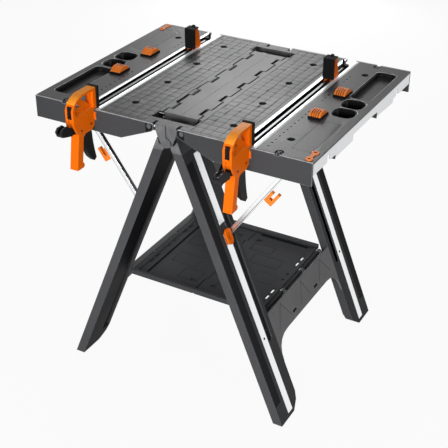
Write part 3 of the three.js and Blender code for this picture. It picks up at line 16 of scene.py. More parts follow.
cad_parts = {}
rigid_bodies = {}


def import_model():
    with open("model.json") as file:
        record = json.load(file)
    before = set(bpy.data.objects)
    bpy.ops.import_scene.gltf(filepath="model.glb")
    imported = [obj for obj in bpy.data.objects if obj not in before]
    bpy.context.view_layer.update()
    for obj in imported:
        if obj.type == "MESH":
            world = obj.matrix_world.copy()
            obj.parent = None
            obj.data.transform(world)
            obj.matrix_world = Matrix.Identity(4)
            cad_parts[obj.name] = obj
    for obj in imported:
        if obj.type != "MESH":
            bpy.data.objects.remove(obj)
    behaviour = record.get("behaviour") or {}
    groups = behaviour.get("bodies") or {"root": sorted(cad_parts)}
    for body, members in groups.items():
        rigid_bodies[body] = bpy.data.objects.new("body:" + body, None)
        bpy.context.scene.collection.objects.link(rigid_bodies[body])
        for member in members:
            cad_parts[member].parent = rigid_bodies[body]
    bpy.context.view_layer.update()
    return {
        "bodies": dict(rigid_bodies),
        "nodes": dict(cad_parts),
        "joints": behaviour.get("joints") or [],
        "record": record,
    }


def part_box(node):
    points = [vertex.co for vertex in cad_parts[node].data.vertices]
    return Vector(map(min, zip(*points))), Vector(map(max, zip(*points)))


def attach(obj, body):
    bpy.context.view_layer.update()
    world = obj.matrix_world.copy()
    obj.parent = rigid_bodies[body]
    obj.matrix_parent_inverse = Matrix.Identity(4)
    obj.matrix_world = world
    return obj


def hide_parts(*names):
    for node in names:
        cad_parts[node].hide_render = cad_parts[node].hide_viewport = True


LOG = logging.getLogger("workbench")
MM = 0.001
IMAGE_SIZE = 448


class Slot(Enum):
    """Material slots of the record."""

    MOULDED = "moulded"
    BLACK = "black"
    ORANGE = "orange"
    ALUMINIUM = "aluminium"
    STEEL = "steel"


class Side(Enum):
    """Left and right halves of the bench."""

    RIGHT = "right"
    LEFT = "left"

    @property
    def sign(self) -> int:
        """Direction of this half along X."""
        return 1 if self is Side.RIGHT else -1


# Shader node groups


class ShaderKit:
    """Shared shader effects, each built once as a node group."""

    def __init__(self) -> None:
        """Build the groups."""
        self.grain = self._grain()
        self.mottle = self._mottle()
        # Paler edges: partly wear, partly painted highlight.
        self.wear_and_highlight = self._wear_and_highlight()
        # Painted shade in grooves, pockets and shaded sides.
        self.recess = self._painted_shade()
        self.brushed = self._brushed()

    @staticmethod
    def _group(
        name: str,
        inputs: Iterable[tuple[str, str, object]],
        outputs: Iterable[tuple[str, str]],
    ) -> tuple[bpy.types.NodeTree, bpy.types.Node, bpy.types.Node]:
        """Make an empty group with named sockets.

        Args:
            name: Name of the group.
            inputs: Socket name, socket type and default value of each input.
            outputs: Socket name and socket type of each output.

        Returns:
            The tree, its input node and its output node.
        """
        tree = bpy.data.node_groups.new(name, "ShaderNodeTree")
        for label, kind, value in inputs:
            socket = tree.interface.new_socket(label, in_out="INPUT", socket_type=kind)
            socket.default_value = value
        for label, kind in outputs:
            tree.interface.new_socket(label, in_out="OUTPUT", socket_type=kind)
        return tree, tree.nodes.new("NodeGroupInput"), tree.nodes.new("NodeGroupOutput")

    @staticmethod
    def _mix(
        tree: bpy.types.NodeTree,
        mask: bpy.types.NodeSocket,
        first: bpy.types.NodeSocket,
        second: bpy.types.NodeSocket,
    ) -> bpy.types.NodeSocket:
        """Add a colour mix.

        Args:
            tree: Tree that takes the node.
            mask: Share of the second colour.
            first: Colour where the mask is 0.
            second: Colour where the mask is 1.

        Returns:
            The mixed colour.
        """
        node = tree.nodes.new("ShaderNodeMix")
        node.data_type = "RGBA"
        tree.links.new(mask, node.inputs["Factor"])
        colours = [socket for socket in node.inputs if socket.type == "RGBA"]
        tree.links.new(first, colours[0])
        tree.links.new(second, colours[1])
        return next(socket for socket in node.outputs if socket.type == "RGBA")

    @staticmethod
    def _math(
        tree: bpy.types.NodeTree,
        operation: str,
        first: object,
        second: object = 0.0,
    ) -> bpy.types.NodeSocket:
        """Add a math node.

        Args:
            tree: Tree that takes the node.
            operation: Blender's name of the operation.
            first: A socket or a number.
            second: A socket or a number.

        Returns:
            The node's output socket.
        """
        node = tree.nodes.new("ShaderNodeMath")
        node.operation = operation
        for socket, value in zip(node.inputs, (first, second)):
            if isinstance(value, bpy.types.NodeSocket):
                tree.links.new(value, socket)
            else:
                socket.default_value = value
        return node.outputs[0]

    def _noise(
        self,
        tree: bpy.types.NodeTree,
        vector: bpy.types.NodeSocket,
        scale: object,
        detail: float = 3.0,
    ) -> bpy.types.NodeSocket:
        """Add a noise texture and give back its value socket.

        Args:
            tree: Tree that takes the node.
            vector: Coordinates.
            scale: A socket or a number.
            detail: Octaves of the noise.

        Returns:
            The noise value.
        """
        node = tree.nodes.new("ShaderNodeTexNoise")
        node.inputs["Detail"].default_value = detail
        if isinstance(scale, bpy.types.NodeSocket):
            tree.links.new(scale, node.inputs["Scale"])
        else:
            node.inputs["Scale"].default_value = scale
        tree.links.new(vector, node.inputs["Vector"])
        return node.outputs[0]

    def _grain(self) -> bpy.types.NodeTree:
        """Fine moulded texture as a height."""
        tree, source, target = self._group(
            "MouldGrain",
            [("Vector", "NodeSocketVector", (0, 0, 0)), ("Scale", "NodeSocketFloat", 900.0)],
            [("Height", "NodeSocketFloat")],
        )
        fine = self._noise(tree, source.outputs["Vector"], source.outputs["Scale"], 2.0)
        coarse_scale = self._math(tree, "MULTIPLY", source.outputs["Scale"], 0.18)
        coarse = self._noise(tree, source.outputs["Vector"], coarse_scale, 2.0)
        mixed = self._math(tree, "MULTIPLY_ADD", coarse, 0.35)
        tree.links.new(fine, mixed.node.inputs[2])
        tree.links.new(mixed, target.inputs["Height"])
        return tree

    def _mottle(self) -> bpy.types.NodeTree:
        """Slow change of tone and gloss over a surface."""
        tree, source, target = self._group(
            "Mottle",
            [
                ("Vector", "NodeSocketVector", (0, 0, 0)),
                ("Base", "NodeSocketColor", (0.05, 0.05, 0.05, 1)),
                ("Tone", "NodeSocketFloat", 0.2),
                ("Rough", "NodeSocketFloat", 0.5),
                ("RoughSpread", "NodeSocketFloat", 0.1),
            ],
            [("Color", "NodeSocketColor"), ("Roughness", "NodeSocketFloat")],
        )
        cloud = self._noise(tree, source.outputs["Vector"], 9.0, 4.0)
        speck = self._noise(tree, source.outputs["Vector"], 160.0, 2.0)
        blend = self._math(tree, "MULTIPLY_ADD", speck, 0.4)
        tree.links.new(cloud, blend.node.inputs[2])
        centred = self._math(tree, "SUBTRACT", blend, 0.7)
        swing = self._math(tree, "MULTIPLY", centred, source.outputs["Tone"])
        gain = self._math(tree, "ADD", swing, 1.0)
        scale = tree.nodes.new("ShaderNodeVectorMath")
        scale.operation = "SCALE"
        tree.links.new(source.outputs["Base"], scale.inputs[0])
        tree.links.new(gain, scale.inputs["Scale"])
        tree.links.new(scale.outputs[0], target.inputs["Color"])
        rough = self._math(tree, "MULTIPLY", centred, source.outputs["RoughSpread"])
        total = self._math(tree, "ADD", rough, source.outputs["Rough"])
        tree.links.new(total, target.inputs["Roughness"])
        return tree

    def _wear_and_highlight(self) -> bpy.types.NodeTree:
        """Paler, smoother edges, broken up by noise: partly wear, partly painted highlight on faces marked to look
        lit.
        """
        tree, source, target = self._group(
            "EdgeWear",
            [
                ("Vector", "NodeSocketVector", (0, 0, 0)),
                ("Edge", "NodeSocketFloat", 0.0),
                ("Color", "NodeSocketColor", (0, 0, 0, 1)),
                ("WornAndHighlitColor", "NodeSocketColor", (0.2, 0.2, 0.2, 1)),
                ("Roughness", "NodeSocketFloat", 0.5),
                ("Amount", "NodeSocketFloat", 0.5),
            ],
            [("Color", "NodeSocketColor"), ("Roughness", "NodeSocketFloat")],
        )
        # Noise breaks up the mask that mixes in the pale colour, for wear and for painted highlight.
        patch = self._noise(tree, source.outputs["Vector"], 55.0, 4.0)
        broken = self._math(tree, "MULTIPLY", patch, source.outputs["Edge"])
        mask = self._math(tree, "MULTIPLY", broken, source.outputs["Amount"])
        mixed = self._mix(tree, mask, source.outputs["Color"], source.outputs["WornAndHighlitColor"])
        tree.links.new(mixed, target.inputs["Color"])
        drop = self._math(tree, "MULTIPLY", mask, -0.15)
        rough = self._math(tree, "ADD", source.outputs["Roughness"], drop)
        tree.links.new(rough, target.inputs["Roughness"])
        return tree

    def _painted_shade(self) -> bpy.types.NodeTree:
        """Painted shade: a darker colour on faces in grooves, pockets and shaded sides."""
        tree, source, target = self._group(
            "PaintedRecessShade",
            [
                ("ShadeAmount", "NodeSocketFloat", 0.0),
                ("Color", "NodeSocketColor", (0, 0, 0, 1)),
                ("ShadeColor", "NodeSocketColor", (0.004, 0.004, 0.004, 1)),
            ],
            [("Color", "NodeSocketColor")],
        )
        # Mix in the painted shade colour by the marked amount.
        mixed = self._mix(
            tree, source.outputs["ShadeAmount"], source.outputs["Color"], source.outputs["ShadeColor"]
        )
        tree.links.new(mixed, target.inputs["Color"])
        return tree

    def _brushed(self) -> bpy.types.NodeTree:
        """Drawn lines along a metal length, as a height and a gloss change."""
        tree, source, target = self._group(
            "DrawnLines",
            [
                ("Vector", "NodeSocketVector", (0, 0, 0)),
                ("Stretch", "NodeSocketVector", (1500.0, 8.0, 1500.0)),
                ("Rough", "NodeSocketFloat", 0.3),
                ("RoughSpread", "NodeSocketFloat", 0.12),
            ],
            [("Height", "NodeSocketFloat"), ("Roughness", "NodeSocketFloat")],
        )
        stretch = tree.nodes.new("ShaderNodeVectorMath")
        stretch.operation = "MULTIPLY"
        tree.links.new(source.outputs["Vector"], stretch.inputs[0])
        tree.links.new(source.outputs["Stretch"], stretch.inputs[1])
        lines = self._noise(tree, stretch.outputs[0], 1.0, 2.0)
        tree.links.new(lines, target.inputs["Height"])
        centred = self._math(tree, "SUBTRACT", lines, 0.5)
        swing = self._math(tree, "MULTIPLY", centred, source.outputs["RoughSpread"])
        rough = self._math(tree, "ADD", swing, source.outputs["Rough"])
        tree.links.new(rough, target.inputs["Roughness"])
        return tree


def link_group(
    material: bpy.types.Material, group: bpy.types.NodeTree, values: dict[str, object]
) -> bpy.types.Node:
    """Place a node group in a material.

    Args:
        material: Material that takes the group.
        group: Group to place.
        values: Socket name to a value or a socket that feeds it.

    Returns:
        The group node.
    """
    tree = material.node_tree
    node = tree.nodes.new("ShaderNodeGroup")
    node.node_tree = group
    for label, value in values.items():
        if isinstance(value, bpy.types.NodeSocket):
            tree.links.new(value, node.inputs[label])
        else:
            node.inputs[label].default_value = value
    return node


@dataclass(frozen=True)
class Finish:
    """Base of every finish: a named procedural material."""

    name: str
    color: tuple[float, float, float]
    roughness: float
    # Painted shade colour for faces in grooves, pockets and shaded sides.
    groove: tuple[float, float, float] = (0.006, 0.006, 0.007)

    def start(self) -> tuple[bpy.types.Material, bpy.types.Node, bpy.types.NodeSocket]:
        """Make the material.

        Returns:
            The material, its Principled node and its Object coordinates.
        """
        material = bpy.data.materials.new(self.name)
        material.use_nodes = True
        material.diffuse_color = (*self.color, 1)
        tree = material.node_tree
        coords = tree.nodes.new("ShaderNodeTexCoord").outputs["Object"]
        return material, tree.nodes["Principled BSDF"], coords

    @staticmethod
    def attribute(material: bpy.types.Material, name: str) -> bpy.types.NodeSocket:
        """Read a face value of the piece.

        Args:
            material: Material that reads it.
            name: Name of the value.

        Returns:
            The value's socket.
        """
        node = material.node_tree.nodes.new("ShaderNodeAttribute")
        node.attribute_name = name
        return node.outputs["Fac"]

    def paint(self, material: bpy.types.Material, kit: ShaderKit, color: bpy.types.NodeSocket) -> None:
        """Feed a colour to the material, with painted shade in grooves, pockets and shaded sides.

        Args:
            material: Material to change.
            kit: Shared node groups.
            color: Colour outside the painted shade.
        """
        # Each face's groove value sets how much painted shade it gets.
        recess = link_group(material, kit.recess, {
            "ShadeAmount": self.attribute(material, "groove"),
            "Color": color,
            "ShadeColor": (*self.groove, 1),
        })
        tree = material.node_tree
        tree.links.new(recess.outputs["Color"], tree.nodes["Principled BSDF"].inputs["Base Color"])

    @staticmethod
    def bump(
        material: bpy.types.Material,
        height: bpy.types.NodeSocket,
        strength: float,
        distance: float,
    ) -> None:
        """Feed a height to the material's normal.

        Args:
            material: Material to change.
            height: Height socket.
            strength: Bump strength.
            distance: Bump depth in metres.
        """
        tree = material.node_tree
        node = tree.nodes.new("ShaderNodeBump")
        node.inputs["Strength"].default_value = strength
        node.inputs["Distance"].default_value = distance
        tree.links.new(height, node.inputs["Height"])
        tree.links.new(node.outputs["Normal"], tree.nodes["Principled BSDF"].inputs["Normal"])


@dataclass(frozen=True)
class Resin(Finish):
    """Moulded plastic with grain, slight mottling, paler edges that are partly wear and partly painted highlight,
    and painted shade in grooves.
    """

    # Pale colour of worn edges and of painted highlights.
    worn_and_highlit: tuple[float, float, float] = (0.16, 0.16, 0.17)
    grain_scale: float = 1100.0
    grain_depth: float = 0.00012
    tone: float = 0.3
    # How strongly edge wear and painted highlights show.
    wear_and_highlight: float = 0.7
    specular: float = 0.5

    def build(self, kit: ShaderKit) -> bpy.types.Material:
        """Build the material.

        Args:
            kit: Shared node groups.

        Returns:
            The finished material.
        """
        material, shader, coords = self.start()
        tree = material.node_tree
        mottle = link_group(material, kit.mottle, {
            "Vector": coords,
            "Base": (*self.color, 1),
            "Tone": self.tone,
            "Rough": self.roughness,
            "RoughSpread": 0.12,
        })
        # Each face's edge value: bevels for wear, and painted highlights on faces marked to look lit.
        worn_and_highlit = link_group(material, kit.wear_and_highlight, {
            "Vector": coords,
            "Edge": self.attribute(material, "edge"),
            "Color": mottle.outputs["Color"],
            "WornAndHighlitColor": (*self.worn_and_highlit, 1),
            "Roughness": mottle.outputs["Roughness"],
            "Amount": self.wear_and_highlight,
        })
        self.paint(material, kit, worn_and_highlit.outputs["Color"])
        tree.links.new(worn_and_highlit.outputs["Roughness"], shader.inputs["Roughness"])
        shader.inputs["Specular IOR Level"].default_value = self.specular
        grain = link_group(material, kit.grain, {"Vector": coords, "Scale": self.grain_scale})
        self.bump(material, grain.outputs["Height"], 0.35, self.grain_depth)
        return material


@dataclass(frozen=True)
class Metal(Finish):
    """Bright metal with drawn lines."""

    stretch: tuple[float, float, float] = (1500.0, 8.0, 1500.0)
    depth: float = 0.00004

    def build(self, kit: ShaderKit) -> bpy.types.Material:
        """Build the material.

        Args:
            kit: Shared node groups.

        Returns:
            The finished material.
        """
        material, shader, coords = self.start()
        tree = material.node_tree
        mottle = link_group(material, kit.mottle, {
            "Vector": coords,
            "Base": (*self.color, 1),
            "Tone": 0.08,
            "Rough": self.roughness,
            "RoughSpread": 0.05,
        })
        lines = link_group(material, kit.brushed, {
            "Vector": coords,
            "Stretch": self.stretch,
            "Rough": mottle.outputs["Roughness"],
            "RoughSpread": 0.14,
        })
        self.paint(material, kit, mottle.outputs["Color"])
        tree.links.new(lines.outputs["Roughness"], shader.inputs["Roughness"])
        shader.inputs["Metallic"].default_value = 1.0
        self.bump(material, lines.outputs["Height"], 0.25, self.depth)
        return material


# The pale worn colours serve both edge wear and painted highlights; the groove colours are painted shade.
FINISHES: dict[str, Finish] = {
    "moulded": Resin(
        "dark_resin", (0.049, 0.05, 0.053), 0.55, worn_and_highlit=(0.7, 0.7, 0.71), wear_and_highlight=0.3, specular=0.04
    ),
    # Lighter copy of the moulded resin for the legs: painted light.
    "limb": Resin(
        "lit_limb_resin", (0.063, 0.064, 0.067), 0.55, worn_and_highlit=(0.7, 0.7, 0.71), wear_and_highlight=0.2, specular=0.03
    ),
    # Much paler copy of the moulded resin for the cross panel: painted light on its lit outer face.
    "panel": Resin(
        "lit_panel_resin", (0.16, 0.161, 0.165), 0.55, worn_and_highlit=(0.7, 0.7, 0.71), wear_and_highlight=0.2, specular=0.03
    ),
    "deck": Resin(
        "deck_resin", (0.042, 0.043, 0.046), 0.38, worn_and_highlit=(0.75, 0.75, 0.76), wear_and_highlight=0.3, specular=0.2
    ),
    "black": Resin("black_resin", (0.005, 0.005, 0.006), 0.5, worn_and_highlit=(0.03, 0.03, 0.032), specular=0.09),
    "orange": Resin(
        "orange_resin",
        (0.75, 0.13, 0.002),
        0.45,
        groove=(0.06, 0.007, 0.002),
        worn_and_highlit=(0.95, 0.32, 0.03),
        tone=0.12,
        wear_and_highlight=0.45,
        specular=0.05,
    ),
    "amber": Resin(
        "pale_orange_resin",
        (0.86, 0.2, 0.018),
        0.42,
        groove=(0.2, 0.02, 0.004),
        worn_and_highlit=(0.98, 0.46, 0.12),
        tone=0.12,
        wear_and_highlight=0.6,
        specular=0.2,
    ),
    "aluminium": Metal("drawn_aluminium", (0.86, 0.87, 0.88), 0.48),
    "steel": Metal("drawn_steel", (0.13, 0.135, 0.14), 0.34),
    "pad": Resin(
        "pad_rubber",
        (0.004, 0.004, 0.005),
        0.75,
        worn_and_highlit=(0.02, 0.02, 0.02),
        grain_scale=700.0,
        grain_depth=0.0002,
        specular=0.1,
    ),
    "trim": Metal("trim_aluminium", (0.7, 0.71, 0.72), 0.5),
    "strip": Metal("strip_aluminium", (0.88, 0.89, 0.9), 0.34, stretch=(900.0, 900.0, 10.0)),
}


# Mesh tools


@dataclass(frozen=True)
class Cut:
    """A shape to take away, and how much painted shade (dark) and painted highlight (pale) the faces get that it
    leaves.
    """

    shape: bpy.types.Object
    # Painted shade on the faces that the cut leaves.
    dark: float = 1.0
    # Painted highlight on the faces that the cut leaves.
    pale: float = 0.0


@dataclass(frozen=True)
class Mark:
    """A value that each face of a piece gets for its finish to read."""

    name: str
    value_of: Callable[[bpy.types.MeshPolygon], float]


class MeshKit:
    """Copies of CAD nodes, cutters and finished meshes."""

    def __init__(self, frame: dict, finishes: dict[str, bpy.types.Material]) -> None:
        """Keep the frame, the finishes and the bench's own origin.

        Args:
            finishes: Material of each finish.
        """
        self.nodes: dict[str, bpy.types.Object] = frame["nodes"]
        self.finishes = finishes
        bodies = frame["record"]["behaviour"]["bodies"]
        self.body_of = {node: body for body, nodes in bodies.items() for node in nodes}
        self.slot_of = {row["node"]: row["material_slot"] for row in frame["record"]["subparts"]}
        low, high = (Vector(corner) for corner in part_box("leg_pivot_rod"))
        self.shift_y = (low.y + high.y) / 2

    def at(self, x: float, y: float, z: float, side: Side = Side.RIGHT) -> Vector:
        """Place in the model of a point given in bench millimetres.

        Args:
            x: Distance to the right of the middle.
            y: Distance behind the middle.
            z: Height.
            side: Half that the point is on; the left half is the right one turned half a turn.

        Returns:
            The point in metres.
        """
        return Vector((side.sign * x * MM, side.sign * y * MM + self.shift_y, z * MM))

    def middle_of(self, polygon: bpy.types.MeshPolygon, side: Side) -> tuple[float, float, float]:
        """Middle of a face in the bench millimetres of one half."""
        x, y, z = polygon.center
        return side.sign * x / MM, side.sign * (y - self.shift_y) / MM, z / MM

    def new_object(self, name: str, mesh: bpy.types.Mesh) -> bpy.types.Object:
        """Link a mesh to the scene as an object."""
        obj = bpy.data.objects.new(name, mesh)
        bpy.context.scene.collection.objects.link(obj)
        return obj

    def copy_node(self, node: str) -> bpy.types.Object:
        """Copy a CAD node with its triangles merged into flat faces.

        Args:
            node: Name of the node.

        Returns:
            The copy, named for the node.
        """
        mesh = self.nodes[node].data.copy()
        mesh.materials.clear()
        work = bmesh.new()
        work.from_mesh(mesh)
        bmesh.ops.remove_doubles(work, verts=work.verts, dist=2e-6)
        bmesh.ops.dissolve_limit(
            work, angle_limit=math.radians(0.4), verts=work.verts, edges=work.edges
        )
        work.to_mesh(mesh)
        work.free()
        return self.new_object(f"{node}_skin", mesh)

    def settle(self, obj: bpy.types.Object) -> None:
        """Turn an object's modifiers into its plain mesh."""
        bpy.context.view_layer.update()
        graph = bpy.context.evaluated_depsgraph_get()
        mesh = bpy.data.meshes.new_from_object(obj.evaluated_get(graph))
        obj.modifiers.clear()
        old = obj.data
        obj.data = mesh
        bpy.data.meshes.remove(old)

    def round_edges(self, obj: bpy.types.Object, width: float, segments: int = 2) -> None:
        """Bevel an object's sharp edges and mark the new faces for paler wear and painted highlight.

        Args:
            obj: Object to change.
            width: Bevel width in millimetres.
            segments: Steps of the bevel.
        """
        for _ in range(2):
            obj.data.materials.append(None)
        bevel = obj.modifiers.new("round", "BEVEL")
        bevel.width = width * MM
        bevel.segments = segments
        bevel.limit_method = "ANGLE"
        bevel.angle_limit = math.radians(42)
        bevel.use_clamp_overlap = True
        bevel.material = 1
        self.settle(obj)
        # The bevel faces are marked for paler wear and painted highlight.
        self.tag(obj, Mark("edge", lambda polygon: float(polygon.material_index == 1)))
        for polygon in obj.data.polygons:
            polygon.material_index = 0
        obj.data.materials.clear()

    @staticmethod
    def tag(obj: bpy.types.Object, *marks: Mark) -> None:
        """Raise the marked values of an object's faces.

        Args:
            obj: Object to change.
            marks: Values to raise.
        """
        attributes = obj.data.attributes
        for mark in marks:
            cells = attributes.get(mark.name) or attributes.new(mark.name, "FLOAT", "FACE")
            for polygon in obj.data.polygons:
                cell = cells.data[polygon.index]
                cell.value = max(cell.value, mark.value_of(polygon))

    def carve(self, obj: bpy.types.Object, *cuts: Cut) -> None:
        """Cut shapes out of an object and delete the cutters.

        Args:
            obj: Object to cut.
            cuts: Closed shapes to take away.
        """
        self.tag(obj, Mark("groove", lambda _: 0.0))
        for step in cuts:
            # The cut faces take the cut's painted shade and painted highlight.
            self.tag(step.shape, Mark("groove", lambda _: step.dark), Mark("edge", lambda _: step.pale))
            cut = obj.modifiers.new("carve", "BOOLEAN")
            cut.operation = "DIFFERENCE"
            cut.solver = "EXACT"
            cut.object = step.shape
            self.settle(obj)
            self.discard(step.shape)

    @staticmethod
    def discard(obj: bpy.types.Object) -> None:
        """Delete a helper object and its mesh."""
        mesh = obj.data
        bpy.data.objects.remove(obj)
        bpy.data.meshes.remove(mesh)

    def finish(
        self,
        obj: bpy.types.Object,
        finish: str,
        body: str,
        slot: Slot,
        replaced: Sequence[str] = (),
    ) -> bpy.types.Object:
        """Give a piece its normals, finish and body, and hide the CAD nodes it stands for.

        Args:
            obj: Piece to finish.
            finish: Name of the finish.
            body: Body that the piece rides on.
            slot: Material slot of the record; not used.
            replaced: CAD nodes that the piece stands for.

        Returns:
            The piece.
        """
        obj.data.materials.clear()
        obj.data.materials.append(self.finishes[finish])
        for polygon in obj.data.polygons:
            polygon.material_index = 0
            polygon.use_smooth = True
        obj.data.set_sharp_from_angle(angle=math.radians(40))
        normals = obj.modifiers.new("normals", "WEIGHTED_NORMAL")
        normals.keep_sharp = True
        self.settle(obj)
        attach(obj, body)
        if replaced:
            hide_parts(*replaced)
        LOG.info("piece %s on %s", obj.name, body)
        return obj

    def dress(
        self,
        node: str,
        width: float,
        cuts: Sequence[Cut] = (),
        finish: str | None = None,
        segments: int = 2,
        marks: Sequence[Mark] = (),
    ) -> bpy.types.Object:
        """Stand a bevelled and carved copy in for a CAD node.

        Args:
            node: Name of the node.
            width: Bevel width in millimetres.
            cuts: Shapes to carve out.
            finish: Finish, or None for the one named as the node's slot.
            segments: Steps of the bevel.
            marks: Values that the faces get before any carving.

        Returns:
            The finished piece.
        """
        obj = self.copy_node(node)
        self.round_edges(obj, width, segments)
        self.tag(obj, *marks)
        self.carve(obj, *cuts)
        slot = self.slot_of[node]
        return self.finish(obj, finish or slot, self.body_of[node], Slot(slot), [node])

    def block(self, name: str, low: Vector, high: Vector, turn: Matrix | None = None) -> bpy.types.Object:
        """Make a box between two corners.

        Args:
            name: Name of the object.
            low: One corner.
            high: The opposite corner.
            turn: Matrix that places the box, or None.

        Returns:
            The box.
        """
        work = bmesh.new()
        bmesh.ops.create_cube(work, size=1.0)
        size = Vector(abs(high[i] - low[i]) for i in range(3))
        place = Matrix.Translation((low + high) / 2) @ Matrix.Diagonal((*size, 1))
        bmesh.ops.transform(work, matrix=(turn or Matrix()) @ place, verts=work.verts)
        return self.from_bmesh(name, work)

    def from_bmesh(self, name: str, work: bmesh.types.BMesh) -> bpy.types.Object:
        """Turn a bmesh into an object and free it."""
        bmesh.ops.recalc_face_normals(work, faces=work.faces)
        mesh = bpy.data.meshes.new(name)
        work.to_mesh(mesh)
        work.free()
        return self.new_object(name, mesh)

    def lattice(
        self,
        name: str,
        lines_x: Sequence[float],
        lines_y: Sequence[float],
        width: float,
        heights: tuple[float, float],
        side: Side,
    ) -> bpy.types.Object:
        """Make one closed lattice of crossing bars, for engraving a grid.

        Args:
            name: Name of the object.
            lines_x: Where the bars along Y stand, in bench millimetres.
            lines_y: Where the bars along X stand.
            width: Width of a bar.
            heights: Lowest and highest Z.
            side: Half of the bench.

        Returns:
            The lattice.
        """
        xs = [edge for x in lines_x for edge in (x - width / 2, x + width / 2)]
        ys = [edge for y in lines_y for edge in (y - width / 2, y + width / 2)]
        work = bmesh.new()
        grid = [[work.verts.new(self.at(x, y, heights[0], side)) for y in ys] for x in xs]
        for i in range(len(xs) - 1):
            for j in range(len(ys) - 1):
                if i % 2 == 0 or j % 2 == 0:
                    work.faces.new((grid[i][j], grid[i + 1][j], grid[i + 1][j + 1], grid[i][j + 1]))
        made = bmesh.ops.extrude_face_region(work, geom=list(work.faces))
        lifted = [item for item in made["geom"] if isinstance(item, bmesh.types.BMVert)]
        bmesh.ops.translate(work, vec=(0, 0, (heights[1] - heights[0]) * MM), verts=lifted)
        return self.from_bmesh(name, work)

    def prism(
        self, name: str, outline: Sequence[Vector], along: Vector
    ) -> bpy.types.Object:
        """Pull a closed outline along a vector.

        Args:
            name: Name of the object.
            outline: Corners of the outline, in metres.
            along: Pull, in metres.

        Returns:
            The prism.
        """
        work = bmesh.new()
        face = work.faces.new([work.verts.new(corner) for corner in outline])
        made = bmesh.ops.extrude_face_region(work, geom=[face])
        moved = [item for item in made["geom"] if isinstance(item, bmesh.types.BMVert)]
        bmesh.ops.translate(work, vec=along, verts=moved)
        return self.from_bmesh(name, work)

    def plug(
        self,
        name: str,
        box: tuple[float, float, float, float],
        corner: float,
        heights: tuple[float, float],
        side: Side,
        steps: int = 6,
    ) -> bpy.types.Object:
        """Make an upright block with rounded corners.

        Args:
            name: Name of the object.
            box: Lowest and highest X, then lowest and highest Y, in bench millimetres.
            corner: Radius of the corners.
            heights: Lowest and highest Z.
            side: Half of the bench.
            steps: Sides of one corner.

        Returns:
            The block.
        """
        x0, x1, y0, y1 = box
        middles = ((x1, y1, -1, -1), (x0, y1, 1, -1), (x0, y0, 1, 1), (x1, y0, -1, 1))
        outline = []
        for quarter, (x, y, inward_x, inward_y) in enumerate(middles):
            for i in range(steps + 1):
                angle = (quarter + i / steps) * math.pi / 2
                outline.append(self.at(
                    x + corner * (inward_x + math.cos(angle)),
                    y + corner * (inward_y + math.sin(angle)),
                    heights[0],
                    side,
                ))
        return self.prism(name, outline, Vector((0, 0, (heights[1] - heights[0]) * MM)))

    def ring(
        self,
        name: str,
        centre: Vector,
        axis: Vector,
        radii: tuple[float, float],
        depth: float,
        steps: int = 32,
    ) -> bpy.types.Object:
        """Make a flat ring about an axis.

        Args:
            name: Name of the object.
            centre: Middle of the ring, in metres.
            axis: Axis of the ring.
            radii: Inner and outer radius in millimetres.
            depth: Depth along the axis, to both sides of the centre, in millimetres.
            steps: Sides of the ring.

        Returns:
            The ring.
        """
        turn = Matrix.Translation(centre) @ axis.to_track_quat("Z", "Y").to_matrix().to_4x4()
        work = bmesh.new()
        loops = []
        for radius, height in ((radii[0], -depth), (radii[1], -depth), (radii[1], depth), (radii[0], depth)):
            loops.append([
                work.verts.new(turn @ Vector((
                    radius * MM * math.cos(2 * math.pi * i / steps),
                    radius * MM * math.sin(2 * math.pi * i / steps),
                    height * MM,
                )))
                for i in range(steps)
            ])
        for inner, outer in zip(loops, loops[1:] + loops[:1]):
            for i in range(steps):
                j = (i + 1) % steps
                work.faces.new((inner[i], inner[j], outer[j], outer[i]))
        return self.from_bmesh(name, work)


class RowShape(Enum):
    """What a row repeats."""

    PEG = "peg"
    DOME = "dome"
    BAR = "bar"


